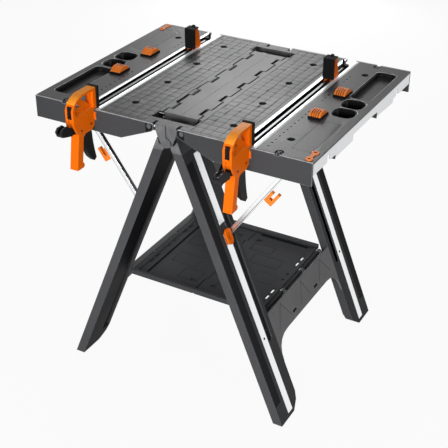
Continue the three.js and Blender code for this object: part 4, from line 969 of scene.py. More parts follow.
class RowTree:
    """Geometry Nodes tree that sets one shape along a straight row."""

    def __init__(self, shape: RowShape) -> None:
        """Build the tree.

        Args:
            shape: Shape that the row repeats.
        """
        self.tree = bpy.data.node_groups.new(f"row_of_{shape.value}s", "GeometryNodeTree")
        new_socket = self.tree.interface.new_socket
        self.ids: dict[str, str] = {}
        for label, kind in (
            ("Count", "NodeSocketInt"),
            ("Start", "NodeSocketVector"),
            ("Step", "NodeSocketVector"),
            ("Turn", "NodeSocketVector"),
            ("Size", "NodeSocketVector"),
            ("Material", "NodeSocketMaterial"),
        ):
            self.ids[label] = new_socket(label, in_out="INPUT", socket_type=kind).identifier
        new_socket("Geometry", in_out="OUTPUT", socket_type="NodeSocketGeometry")
        add = self.tree.nodes.new
        link = self.tree.links.new
        source, target = add("NodeGroupInput"), add("NodeGroupOutput")
        line = add("GeometryNodeMeshLine")
        line.mode = "OFFSET"
        link(source.outputs["Count"], line.inputs["Count"])
        link(source.outputs["Start"], line.inputs["Start Location"])
        link(source.outputs["Step"], line.inputs["Offset"])
        unit = self._unit(shape)
        place = add("GeometryNodeInstanceOnPoints")
        link(line.outputs["Mesh"], place.inputs["Points"])
        link(unit, place.inputs["Instance"])
        turn = add("FunctionNodeEulerToRotation")
        link(source.outputs["Turn"], turn.inputs[0])
        link(turn.outputs[0], place.inputs["Rotation"])
        link(source.outputs["Size"], place.inputs["Scale"])
        real = add("GeometryNodeRealizeInstances")
        link(place.outputs["Instances"], real.inputs["Geometry"])
        paint = add("GeometryNodeSetMaterial")
        link(real.outputs["Geometry"], paint.inputs["Geometry"])
        link(source.outputs["Material"], paint.inputs["Material"])
        link(paint.outputs["Geometry"], target.inputs["Geometry"])

    def _unit(self, shape: RowShape) -> bpy.types.NodeSocket:
        """Add the node of the repeated shape, about one unit across.

        Args:
            shape: Shape that the row repeats.

        Returns:
            The node's mesh socket.
        """
        if shape is RowShape.PEG:
            node = self.tree.nodes.new("GeometryNodeMeshCylinder")
            node.inputs["Vertices"].default_value = 14
            node.inputs["Radius"].default_value = 0.5
            node.inputs["Depth"].default_value = 1.0
        elif shape is RowShape.DOME:
            node = self.tree.nodes.new("GeometryNodeMeshUVSphere")
            node.inputs["Segments"].default_value = 14
            node.inputs["Rings"].default_value = 8
            node.inputs["Radius"].default_value = 0.5
        else:
            node = self.tree.nodes.new("GeometryNodeMeshCube")
            node.inputs["Size"].default_value = (1.0, 1.0, 1.0)
        return node.outputs["Mesh"]

    def make(
        self,
        kit: MeshKit,
        name: str,
        count: int,
        start: Vector,
        step: Vector,
        size: Vector,
        turn: Vector = Vector((0, 0, 0)),
        material: bpy.types.Material | None = None,
    ) -> bpy.types.Object:
        """Make one row as a plain mesh.

        Args:
            kit: Mesh tools.
            name: Name of the object.
            count: Number of copies.
            start: Place of the first one, in metres.
            step: From one to the next, in metres.
            size: Size of each, in metres.
            turn: Euler turn of each.
            material: Material, or None for a cutter.

        Returns:
            The row.
        """
        obj = kit.new_object(name, bpy.data.meshes.new(name))
        modifier = obj.modifiers.new("row", "NODES")
        modifier.node_group = self.tree
        for label, value in (
            ("Count", count),
            ("Start", start),
            ("Step", step),
            ("Turn", turn),
            ("Size", size),
            ("Material", material),
        ):
            modifier[self.ids[label]] = value
        kit.settle(obj)
        return obj


# Sub-assemblies


@dataclass
class Wing:
    """One table wing: decks, skirts, track, trim and the small parts fixed to them."""

    kit: MeshKit
    rows: dict[RowShape, RowTree]
    side: Side
    top: float = 813.0
    half_depth: float = 317.5
    grid_pitch: float = 25.4
    grid_half_count: int = 12
    grid_width: float = 1.3
    grid_depth: float = 1.0
    grid_lines_x: tuple[float, ...] = (65.8, 91.2, 116.6, 142.0, 167.4, 187.0)
    seam_x: float = 49.5
    seam_gap: float = 3.6
    seam_depth: float = 4.0
    tongue_count: int = 5
    tongue_pitch: float = 98.0
    tongue_length: float = 40.0
    tongue_reach: float = 12.0
    notch_depth: float = 7.0
    hook_length: float = 9.0
    hinge: tuple[float, float] = (46.5, 803.0)
    knee: tuple[float, float] = (130.0, 753.0)
    nose_radius: float = 14.0
    nose_rim: float = 2.5
    nose_pocket_x: float = 55.0
    nose_pocket_depth: float = 3.0
    nose_arc_steps: int = 14
    # Strength of the painted highlight on the skirts' top faces.
    rim_highlight_strength: float = 5.0
    pin_head_radius: float = 6.4
    pin_head_thickness: float = 2.2
    dimple_x: float = 265.0
    dimple_runs: tuple[tuple[float, int], ...] = ((-286.4, 12), (16.0, 3), (157.0, 3))
    dimple_pitch: float = 20.4
    dimple_size: tuple[float, float, float] = (4.6, 5.5, 5.0)
    curl_place: tuple[float, float] = (302.0, -309.5)
    curl_radii: tuple[float, float] = (6.0, 8.8)
    curl_depth: float = 3.0
    tray: tuple[float, float, float, float] = (319.0, 371.0, 72.0, 268.0)
    tray_corner: float = 12.0
    tray_floor: float = 796.0
    cups: tuple[tuple[float, float, float, float], ...] = (
        (317.5, 372.5, 5.0, 59.0),
        (317.5, 372.5, -55.0, -1.0),
    )
    cup_corner: float = 20.0
    pocket_step: tuple[float, float] = (3.0, 2.1)
    pocket_step_depth: float = 3.0
    pocket_lip: tuple[float, float] = (4.6, 2.8)
    pocket_lip_depth: float = 0.6
    field_x: tuple[float, float] = (317.0, 368.0)
    field_y: tuple[float, float] = (-270.0, -96.0)
    field_line: float = 0.8
    field_depth: float = 0.5
    track_x: float = 220.0
    track_half_channel: float = 17.0
    track_height: float = 30.0
    track_step_width: float = 5.2
    track_step_depth: float = 0.6
    gussets: tuple[tuple[tuple[float, float], ...], ...] = (
        ((41.0, 785.0), (77.0, 785.0), (77.0, 767.0)),
        ((-209.0, 778.0), (-186.0, 778.0), (-186.0, 766.0)),
    )
    gusset_x: tuple[float, float] = (388.6, 393.2)
    trim_x: tuple[float, float] = (387.0, 395.0)
    # Shape of the black sheets that stand in for shade under the lumber slots.
    liner_y: tuple[float, float] = (242.7, 244.2)
    liner_start: tuple[float, float] = (50.0, 807.8)
    liner_radius: float = 21.0
    liner_arc: tuple[float, float] = (math.radians(12), math.radians(-95))
    liner_under_pin: float = 797.0
    liner_steps: int = 10

    def node(self, name: str) -> str:
        """Full name of one of this wing's nodes."""
        return f"{self.side.value}_{name}"

    @property
    def body(self) -> str:
        """Body that the wing's pieces ride on."""
        return self.node("wing")

    def build(self) -> None:
        """Make and dress every piece of the wing."""
        # The grid lines and the seam around the tongues get painted shade.
        cuts = [Cut(self.grid(), dark=0.4), *(Cut(shape) for shape in self.seam())]
        self.kit.dress(self.node("inner_deck"), 0.8, cuts, finish="deck")
        self.outer_deck()
        self.skirts()
        # The steps along the rails and the inside of the channel get painted shade.
        steps = [Cut(shape, dark=0.6) for shape in self.track_steps()]
        self.kit.dress(self.node("clamp_track"), 0.5, steps, marks=[Mark("groove", self.painted_channel_shade)])
        # The walls of the gusset places get painted shade.
        places = [Cut(self.gusset("gusset_cutter", self.trim_x, shape)) for shape in self.gussets]
        self.kit.dress(self.node("edge_trim"), 0.6, places, finish="trim")
        for place, shape in zip(("middle", "front"), self.gussets):
            plate = self.gusset(self.node(f"{place}_edge_gusset"), self.gusset_x, shape)
            self.kit.finish(plate, "black", self.body, Slot.BLACK)
        self.slot_shade_sheets()

    def along_y(self, length: float) -> Vector:
        """Step towards this half's own rear, in metres."""
        return Vector((0, self.side.sign * length * MM, 0))

    def grid(self) -> bpy.types.Object:
        """Cutter of the grid engraved in the inner deck."""
        count = self.grid_half_count
        return self.kit.lattice(
            "grid_cutter",
            self.grid_lines_x,
            [i * self.grid_pitch for i in range(-count, count + 1)],
            self.grid_width,
            (self.top - self.grid_depth, self.top + self.grid_depth),
            self.side,
        )

    def seam(self) -> list[bpy.types.Object]:
        """Cutters of the open seam between the deck and the head, around the hinge tongues."""
        first = -(self.tongue_count - 1) / 2 * self.tongue_pitch
        step = self.along_y(self.tongue_pitch)
        half = self.tongue_length / 2
        edge = self.seam_x + self.seam_gap

        def row(name: str, count: int, x: tuple[float, float], y: tuple[float, float], depth: float):
            start = self.kit.at(sum(x) / 2, sum(y) / 2, self.top, self.side)
            size = Vector((x[1] - x[0], y[1] - y[0], 2 * depth)) * MM
            return self.rows[RowShape.BAR].make(self.kit, name, count, start, step, size)

        gap_start = first - self.tongue_pitch + half
        gap_end = first - half
        cutters = [row("seam_cutter", self.tongue_count + 1, (self.seam_x, edge), (gap_start, gap_end), self.seam_depth)]
        reach = (self.seam_x - self.tongue_reach, edge)
        hook = (reach[0], reach[0] + self.seam_gap)
        for face in (-1, 1):
            middle = first + face * half
            rim = (middle - self.seam_gap / 2, middle + self.seam_gap / 2)
            tip = sorted((middle, middle - face * self.hook_length))
            cutters.append(row("notch_cutter", self.tongue_count, reach, rim, self.notch_depth))
            cutters.append(row("hook_cutter", self.tongue_count, hook, tuple(tip), self.notch_depth))
        return cutters

    def outer_deck(self) -> None:
        """Outer deck with rows of dimples, rims around its pockets and a bare framed field, with painted shade in
        the dimples, pockets and field lines and a painted highlight on the pocket lips.
        """
        # Dimples and the curl get painted shade.
        cuts = [Cut(shape) for shape in self.dimples()]
        (x, y), upright = self.curl_place, Vector((0, 0, 1))
        curl = self.kit.at(x, y, self.top, self.side)
        cuts.append(Cut(self.kit.ring("curl_cutter", curl, upright, self.curl_radii, self.curl_depth)))
        for box, corner in ((self.tray, self.tray_corner), *((cup, self.cup_corner) for cup in self.cups)):
            # Pocket lips get a painted highlight; the steps below them get painted shade.
            cuts.append(Cut(self.pocket_rim(box, corner, self.pocket_lip, self.pocket_lip_depth), 0.0, 4.0))
            cuts.append(Cut(self.pocket_rim(box, corner, self.pocket_step, self.pocket_step_depth), 0.9))
        field = self.kit.lattice(
            "field_cutter",
            self.field_x,
            self.field_y,
            self.field_line,
            (self.top - self.field_depth, self.top + self.field_depth),
            self.side,
        )
        # The field lines get painted shade.
        cuts.append(Cut(field, dark=0.5))
        # Tray and cup floors and walls get painted shade.
        pockets = Mark("groove", self.painted_pocket_shade)
        self.kit.dress(self.node("outer_deck"), 0.8, cuts, finish="deck", marks=[pockets])

    def pocket_rim(
        self,
        box: tuple[float, float, float, float],
        corner: float,
        growth: tuple[float, float],
        depth: float,
    ) -> bpy.types.Object:
        """Cutter of a step around a pocket.

        Args:
            box: Lowest and highest X, then lowest and highest Y, of the pocket.
            corner: Radius of the pocket's corners.
            growth: How far the step reaches beyond the pocket along X and along Y.
            depth: Depth of the step.

        Returns:
            The cutter.
        """
        (x0, x1, y0, y1), (grow_x, grow_y) = box, growth
        outside = (x0 - grow_x, x1 + grow_x, y0 - grow_y, y1 + grow_y)
        heights = (self.top - depth, self.top + depth)
        return self.kit.plug("rim_cutter", outside, corner + grow_y, heights, self.side)

    def dimples(self) -> list[bpy.types.Object]:
        """Cutters of the rows of dimples beside the track."""
        x = self.side.sign * self.dimple_x
        return [
            self.rows[RowShape.PEG].make(
                self.kit,
                "dimple_cutter",
                count,
                self.kit.at(x, y, self.top),
                Vector((0, self.dimple_pitch * MM, 0)),
                Vector(self.dimple_size) * MM,
            )
            for y, count in self.dimple_runs
        ]

    def painted_pocket_shade(self, polygon: bpy.types.MeshPolygon) -> float:
        """How much painted shade a face of the outer deck gets, for lying in the tray or in a cup."""
        x, y, z = self.kit.middle_of(polygon, self.side)
        if z > self.top - 1.0:
            return 0.0
        for x0, x1, y0, y1 in (self.tray, *self.cups):
            if x0 - 1 < x < x1 + 1 and y0 - 1 < y < y1 + 1:
                # Light painted shade on the tray floor, deep painted shade on the walls.
                return 0.3 if abs(z - self.tray_floor) < 0.5 else 0.9
        return 0.0

    def skirts(self) -> None:
        """Front and rear skirts with a pocket and a pin head at the hinge end."""
        x, z = self.hinge
        for place, sign in (("front", -1), ("rear", 1)):
            end = sign * self.side.sign
            # The nose pocket gets painted shade.
            pocket = Cut(self.nose_pocket(end), dark=0.9)
            # The skirt's top face gets a painted highlight.
            self.kit.dress(self.node(f"{place}_skirt"), 1.3, [pocket], marks=[Mark("edge", self.painted_rim_highlight)])
            middle = self.half_depth - self.nose_pocket_depth + self.pin_head_thickness / 2
            head = self.rows[RowShape.PEG].make(
                self.kit,
                self.node(f"{place}_pin_head"),
                1,
                self.kit.at(x, end * middle, z, self.side),
                Vector((0, 0, 0)),
                Vector((2 * self.pin_head_radius, 2 * self.pin_head_radius, self.pin_head_thickness)) * MM,
                Vector((math.pi / 2, 0, 0)),
            )
            self.kit.round_edges(head, 0.5)
            self.kit.finish(head, "steel", self.body, Slot.STEEL)

    def painted_rim_highlight(self, polygon: bpy.types.MeshPolygon) -> float:
        """How strong the painted highlight is on a face of a skirt, for lying on its top."""
        return self.rim_highlight_strength * (polygon.normal.z > 0.5 and polygon.center.z > (self.top - 2) * MM)

    def nose_pocket(self, end: int) -> bpy.types.Object:
        """Cutter of the pocket inside a skirt's rounded hinge end.

        Args:
            end: -1 or 1, the end of this half along its own Y.

        Returns:
            The cutter.
        """
        x, z = self.hinge
        reach = self.nose_radius - self.nose_rim
        run, fall = self.knee[0] - x, self.knee[1] - z
        tangent = math.atan2(fall, run) - math.acos(self.nose_radius / math.hypot(run, fall))
        crown = math.asin((self.top - self.nose_rim - z) / reach)
        first, last = math.pi - crown, 2 * math.pi + tangent
        angles = [first + (last - first) * i / self.nose_arc_steps for i in range(self.nose_arc_steps + 1)]
        corners = [(x + reach * math.cos(angle), z + reach * math.sin(angle)) for angle in angles]
        low_x, low_z = corners[-1]
        corners.append((self.nose_pocket_x, low_z - (self.nose_pocket_x - low_x) / math.tan(tangent)))
        corners.append((self.nose_pocket_x, self.top - self.nose_rim))
        floor = end * (self.half_depth - self.nose_pocket_depth)
        outline = [self.kit.at(u, floor, v, self.side) for u, v in corners]
        return self.kit.prism("nose_cutter", outline, self.along_y(2 * end * self.nose_pocket_depth))

    def track_steps(self) -> list[bpy.types.Object]:
        """Cutters of the low step along the outer edge of each rail of the track."""
        low, high = (Vector(corner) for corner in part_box(self.node("clamp_track")))
        width, depth = self.track_step_width * MM, self.track_step_depth * MM
        return [
            self.kit.block(
                "track_step_cutter",
                Vector((start, low.y - depth, high.z - depth)),
                Vector((start + width + depth, high.y + depth, high.z + depth)),
            )
            for start in (low.x - depth, high.x - width)
        ]

    def painted_channel_shade(self, polygon: bpy.types.MeshPolygon) -> float:
        """How much painted shade a face of the track gets, for lying inside its channel."""
        x, _, z = self.kit.middle_of(polygon, self.side)
        inside = abs(x - self.track_x) < self.track_half_channel + 0.5
        return float(inside and 1.0 < self.top - z < self.track_height - 1.0)

    def gusset(
        self,
        name: str,
        span: tuple[float, float],
        corners: Sequence[tuple[float, float]],
    ) -> bpy.types.Object:
        """Three-cornered plate in the outer trim, or the cutter of its place.

        Args:
            name: Name of the object.
            span: Lowest and highest X of the plate.
            corners: Y and Z of its corners.

        Returns:
            The plate.
        """
        start, end = span
        outline = [self.kit.at(start, y, z, self.side) for y, z in corners]
        return self.kit.prism(name, outline, Vector((self.side.sign * (end - start) * MM, 0, 0)))

    def slot_shade_sheets(self) -> None:
        """Black sheet under the deck along the inner side of each lumber slot, standing in for the shade seen
        through the slot.
        """
        x, z = self.hinge
        first, last = self.liner_arc
        near, far = self.liner_y
        corners = [self.liner_start]
        for i in range(self.liner_steps + 1):
            angle = first + (last - first) * i / self.liner_steps
            corners.append((x + self.liner_radius * math.cos(angle), z + self.liner_radius * math.sin(angle)))
        corners += [(corners[-1][0], self.liner_under_pin), (corners[0][0], self.liner_under_pin)]
        for place, sign in (("front", -1), ("rear", 1)):
            end = sign * self.side.sign
            outline = [self.kit.at(u, end * near, v, self.side) for u, v in corners]
            shade_sheet = self.kit.prism(self.node(f"{place}_slot_liner"), outline, self.along_y(end * (far - near)))
            # The black sheet is painted shade.
            self.kit.finish(shade_sheet, "black", self.body, Slot.BLACK)


@dataclass
class LegFrame:
    """One leg frame: head, legs, strips, panel, lock buttons and the pins."""

    kit: MeshKit
    rows: dict[RowShape, RowTree]
    side: Side
    tilt: float = math.radians(22)
    pivot_height: float = 766.0
    outer: float = 30.0
    head_half_depth: float = 312.0
    split_width: float = 1.1
    split_span: tuple[float, float] = (779.5, 813.0)
    split_depth: float = 3.0
    ear_groove: tuple[float, float] = (13.2, 15.2)
    leg_gap: tuple[tuple[float, float], ...] = ((15.0, 762.0), (19.5, 761.0), (31.0, 777.0), (26.5, 784.0))
    leg_gap_depth: float = 8.0
    band_y: tuple[float, float] = (277.0, 304.0)
    band_along: tuple[float, float] = (60.0, 772.0)
    band_depth: float = 0.8
    hook_y: float = 70.0
    hook_along: float = 226.0
    hook_half: tuple[float, float] = (15.0, 7.0)
    hook_back_span: tuple[float, float] = (22.0, 24.8)
    brace_width: float = 1.4
    brace_depth: float = 0.8
    brace_span: tuple[float, float] = (222.0, 280.0)
    brace_lines: tuple[tuple[float, float], ...] = (
        (-168.0, -128.0),
        (-92.0, -128.0),
        (-28.0, 0.0),
        (28.0, 0.0),
        (92.0, 128.0),
        (168.0, 128.0),
    )
    lock_y: float = 249.3
    lock_along: float = 548.0
    dish_rise: float = 12.5
    dish_size: tuple[float, float, float] = (5.5, 7.0, 14.0)
    strip_y: float = 250.0
    strip_face: float = 30.8
    strip_gap_half: float = 14.0
    strip_gap_along: tuple[float, float] = (560.0, 587.0)
    strip_gap_out: tuple[float, float] = (27.5, 32.0)
    screw_along: float = 242.0
    screw_size: tuple[float, float, float] = (3.0, 7.0, 7.0)

    def node(self, name: str) -> str:
        """Full name of one of this frame's nodes."""
        return f"{self.side.value}_{name}"

    def on_leg(self, outward: float, y: float, along: float) -> Vector:
        """Place of a point on the leg.

        Args:
            outward: Distance out from the pivot plane.
            y: Distance behind the middle, before the left half is turned.
            along: Distance up the leg's outer face from the floor.

        Returns:
            The point in metres.
        """
        sine, cosine = math.sin(self.tilt), math.cos(self.tilt)
        reach = (self.pivot_height + self.outer * sine) / cosine
        up = along - reach
        x = outward * cosine - up * sine
        z = outward * sine + up * cosine + self.pivot_height
        return self.kit.at(x, y, z, self.side)

    def build(self) -> None:
        """Make and dress every piece of the frame."""
        # The head's split, leg gap and ear groove get painted shade.
        grooves = [Cut(shape) for shape in self.head_grooves()]
        # The head's end faces get a painted highlight, paler as if lit.
        painted_end_highlight = Mark("edge", lambda polygon: 0.7 * (abs(polygon.normal.y) > 0.7))
        self.kit.dress(self.node("head"), 0.8, grooves, finish="deck", marks=[painted_end_highlight])
        # The engraved braces get painted shade.
        braces = [Cut(shape, dark=0.7) for shape in self.braces()]
        self.kit.dress(self.node("cross_panel"), 0.9, braces, finish="panel")
        for place, sign in (("front", -1), ("rear", 1)):
            end = sign * self.side.sign
            # The band beside the strip gets painted shade.
            band = Cut(self.band(end), dark=0.85)
            # The leg's inner side gets full painted shade, its outer side a little.
            shade = Mark("groove", self.leg_shade)
            self.kit.dress(self.node(f"{place}_leg"), 1.4, [band], finish="limb", marks=[shade])
            self.hook_shade_plate(place, end)
            gap = Cut(self.strip_gap(end), dark=0.0)
            self.kit.dress(self.node(f"{place}_leg_strip"), 0.4, [gap], finish="strip")
            self.lock_button(place, end)
        self.kit.dress(self.node("hinge_pin"), 0.4)
        self.strip_screws()

    def head_grooves(self) -> list[bpy.types.Object]:
        """Cutters of the lines on both end faces of a head, which get painted shade."""
        cutters = []
        for end in (-1, 1):
            inside = end * (self.head_half_depth - self.split_depth)
            outside = end * (self.head_half_depth + 1)
            low, high = self.split_span
            cutters.append(self.kit.block(
                "split_cutter",
                self.kit.at(-1, inside, low, self.side),
                self.kit.at(self.split_width, outside, high, self.side),
            ))
            start = end * (self.head_half_depth - self.leg_gap_depth)
            outline = [self.kit.at(x, start, z, self.side) for x, z in self.leg_gap]
            along = Vector((0, end * self.side.sign * (self.leg_gap_depth + 1) * MM, 0))
            cutters.append(self.kit.prism("leg_gap_cutter", outline, along))
        face = self.kit.at(0, -self.head_half_depth, self.pivot_height, self.side)
        cutters.append(self.kit.ring("ear_cutter", face, Vector((0, 1, 0)), self.ear_groove, self.split_depth))
        return cutters

    def leg_shade(self, polygon: bpy.types.MeshPolygon) -> float:
        """How much painted shade a face of a leg gets: the inner side most, then the outer side."""
        outward = self.side.sign * polygon.normal.x
        return 1.0 if outward < -0.5 else 0.3 * (outward > 0.5)

    def hook_shade_plate(self, place: str, end: int) -> None:
        """Black plate behind a hook hole of the cross panel, standing in for the shade seen through the hole.

        Args:
            place: Front or rear.
            end: -1 or 1, the end of this half along its own Y.
        """
        inside, outside = self.hook_back_span
        half_y, half_along = self.hook_half
        corners = ((-half_y, -half_along), (half_y, -half_along), (half_y, half_along), (-half_y, half_along))
        outline = [self.on_leg(inside, end * self.hook_y + y, self.hook_along + up) for y, up in corners]
        lift = self.on_leg(outside, 0, 0) - self.on_leg(inside, 0, 0)
        plate = self.kit.prism(self.node(f"{place}_hook_back"), outline, lift)
        # The black plate is painted shade.
        self.kit.finish(plate, "black", self.node("frame"), Slot.BLACK)

    def band(self, end: int) -> bpy.types.Object:
        """Cutter of the shallow band between a leg's outer edge and its strip.

        Args:
            end: -1 or 1, the end of this half along its own Y.

        Returns:
            The cutter.
        """
        (near, far), (foot, head) = self.band_y, self.band_along
        floor = self.outer - self.band_depth
        corners = ((near, foot), (far, foot), (far, head), (near, head))
        outline = [self.on_leg(floor, end * y, along) for y, along in corners]
        lift = self.on_leg(self.outer + self.band_depth, 0, 0) - self.on_leg(floor, 0, 0)
        return self.kit.prism("band_cutter", outline, lift)

    def strip_gap(self, end: int) -> bpy.types.Object:
        """Cutter of the gap in a strip above its lock button.

        Args:
            end: -1 or 1, the end of this half along its own Y.

        Returns:
            The cutter.
        """
        half, (low, high), (floor, above) = self.strip_gap_half, self.strip_gap_along, self.strip_gap_out
        middle = end * self.strip_y
        corners = ((-half, low), (half, low), (half, high), (-half, high))
        outline = [self.on_leg(floor, middle + y, along) for y, along in corners]
        return self.kit.prism("gap_cutter", outline, self.on_leg(above, 0, 0) - self.on_leg(floor, 0, 0))

    def braces(self) -> list[bpy.types.Object]:
        """Cutters of the braces engraved in the outer face of the cross panel."""
        foot, head = self.brace_span
        out = (self.on_leg(self.outer + 1, 0, 0) - self.on_leg(self.outer, 0, 0)).normalized()
        lift = out * self.brace_depth * MM
        cutters = []
        for y_foot, y_head in self.brace_lines:
            start = self.on_leg(self.outer, y_foot, foot) - lift
            run = self.on_leg(self.outer, y_head, head) - lift - start
            across = run.cross(out).normalized() * self.brace_width / 2 * MM
            outline = [start - across, start + run - across, start + run + across, start + across]
            cutters.append(self.kit.prism("brace_cutter", outline, lift * 3))
        return cutters

    def lock_button(self, place: str, end: int) -> None:
        """Lock button with a finger dish in its head.

        Args:
            place: Front or rear.
            end: -1 or 1, the end of this half along its own Y.
        """
        middle = self.on_leg(self.outer + self.dish_rise, end * self.lock_y, self.lock_along)
        work = bmesh.new()
        bmesh.ops.create_uvsphere(work, u_segments=20, v_segments=12, radius=MM)
        turn = Matrix.Rotation(-self.tilt * self.side.sign, 4, "Y")
        dish = Matrix.Translation(middle) @ turn @ Matrix.Diagonal((*self.dish_size, 1))
        bmesh.ops.transform(work, matrix=dish, verts=work.verts)
        # The finger dish gets light painted shade.
        cut = Cut(self.kit.from_bmesh("dish_cutter", work), dark=0.25)
        self.kit.dress(self.node(f"{place}_lock_button"), 1.2, [cut], segments=3)

    def strip_screws(self) -> None:
        """Dark screw heads on the two bright strips."""
        start = self.on_leg(self.strip_face, -self.strip_y, self.screw_along)
        screws = self.rows[RowShape.DOME].make(
            self.kit,
            self.node("strip_screws"),
            2,
            start,
            self.on_leg(self.strip_face, self.strip_y, self.screw_along) - start,
            Vector(self.screw_size) * MM,
            Vector((0, -self.tilt * self.side.sign, 0)),
        )
        self.kit.finish(screws, "black", self.node("frame"), Slot.BLACK)


@dataclass
class Struts:
    """Struts under one wing and the hook on the front one."""

    kit: MeshKit
    side: Side
    top: tuple[float, float] = (329.0, 783.0)
    foot: tuple[float, float] = (130.1, 505.5)
    strut_y: float = 224.0
    half_thickness: float = 6.0
    groove_width: float = 1.6
    groove_offset: float = -3.2
    groove_depth: float = 1.2
    groove_ends: tuple[float, float] = (0.07, 0.94)

    def build(self) -> None:
        """Dress the struts and the hook."""
        name = self.side.value
        for place, sign in (("front", -1), ("rear", 1)):
            middle = sign * self.side.sign * self.strut_y
            # The grooves along the strut get painted shade.
            cuts = [Cut(self.groove(middle, face), dark=0.6) for face in (-1, 1)]
            # The strut's upper side gets painted shade.
            upper = Mark("groove", lambda polygon: 0.75 * (polygon.normal.dot(self.upward) > 0.9))
            self.kit.dress(f"{name}_{place}_strut", 0.8, cuts, finish="strip", marks=[upper])
        self.kit.dress(f"{name}_strut_hook", 0.9, finish="amber")

    @property
    def upward(self) -> Vector:
        """Direction that the upper side of a strut faces."""
        run_x, run_z = (foot - top for foot, top in zip(self.foot, self.top))
        return Vector((self.side.sign * run_z, 0, -run_x)).normalized()

    def groove(self, middle: float, face: int) -> bpy.types.Object:
        """Cutter of the groove along one side of a strut.

        Args:
            middle: Middle of the strut along Y.
            face: Side of the strut, -1 or 1.

        Returns:
            The cutter.
        """
        run = Vector((self.foot[0] - self.top[0], self.foot[1] - self.top[1]))
        outward = Vector((run.y, -run.x)).normalized()
        across = outward * self.groove_width / 2
        line = Vector(self.top) + outward * self.groove_offset
        start, end = (line + run * share for share in self.groove_ends)
        floor = middle + face * (self.half_thickness - self.groove_depth)
        corners = (start - across, end - across, end + across, start + across)
        outline = [self.kit.at(corner.x, floor, corner.y, self.side) for corner in corners]
        along = face * self.side.sign * 2 * self.groove_depth
        return self.kit.prism("strut_cutter", outline, Vector((0, along * MM, 0)))


@dataclass
class Shelf:
    """Lower shelf in two halves."""

    kit: MeshKit
    deck_top: float = 257.0
    line_width: float = 1.1
    line_depth: float = 0.8
    recess_depth: float = 3.5
    slot_x: float = 190.0
    slot_half: tuple[float, float] = (4.2, 11.7)
    slot_corner: float = 4.0
    slot_rows: tuple[float, ...] = (-112.0, -80.0, 80.0, 112.0)
    slot_heights: tuple[float, float] = (250.0, 256.0)

    def build(self) -> None:
        """Dress both halves and the pin."""
        frames = {
            Side.RIGHT: [(40, 96, -150, -96), (60, 150, 20, 70), (108, 172, -60, -10), (28, 100, 84, 120)],
            Side.LEFT: [(44, 92, -140, -90), (60, 140, 30, 84), (96, 150, -70, -24), (20, 80, 96, 150)],
        }
        heights = (self.deck_top - self.line_depth, self.deck_top + self.line_depth)
        for side, rows in frames.items():
            shapes = [
                self.kit.lattice("shelf_line_cutter", (x0, x1), (y0, y1), self.line_width, heights, side)
                for x0, x1, y0, y1 in rows
            ]
            shapes.append(self.slot(side))
            if side is Side.RIGHT:
                shapes += self.through_slots(side)
            # Lines, the recess and the tool slots get painted shade.
            self.kit.dress(f"{side.value}_shelf_half", 0.7, [Cut(shape, dark=0.7) for shape in shapes])
        self.kit.dress("shelf_centre_pin", 0.3)

    def through_slots(self, side: Side) -> list[bpy.types.Object]:
        """Cutters that open the floors of the tool slots along the outer end.

        Args:
            side: Half of the shelf.

        Returns:
            The cutters.
        """
        (across, along), x = self.slot_half, self.slot_x
        return [
            self.kit.plug(
                "tool_slot_cutter",
                (x - across, x + across, y - along, y + along),
                self.slot_corner,
                self.slot_heights,
                side,
            )
            for y in self.slot_rows
        ]

    def slot(self, side: Side) -> bpy.types.Object:
        """Long recess beside the rear rim, or beside the outer row on the left half.

        Args:
            side: Half of the shelf.

        Returns:
            The cutter.
        """
        low, high = ((24, 168), (180, 180)) if side is Side.RIGHT else ((163, -170), (171, 170))
        floor, above = self.deck_top - self.recess_depth, self.deck_top + self.recess_depth
        return self.kit.block("recess_cutter", self.kit.at(*low, floor, side), self.kit.at(*high, above, side))


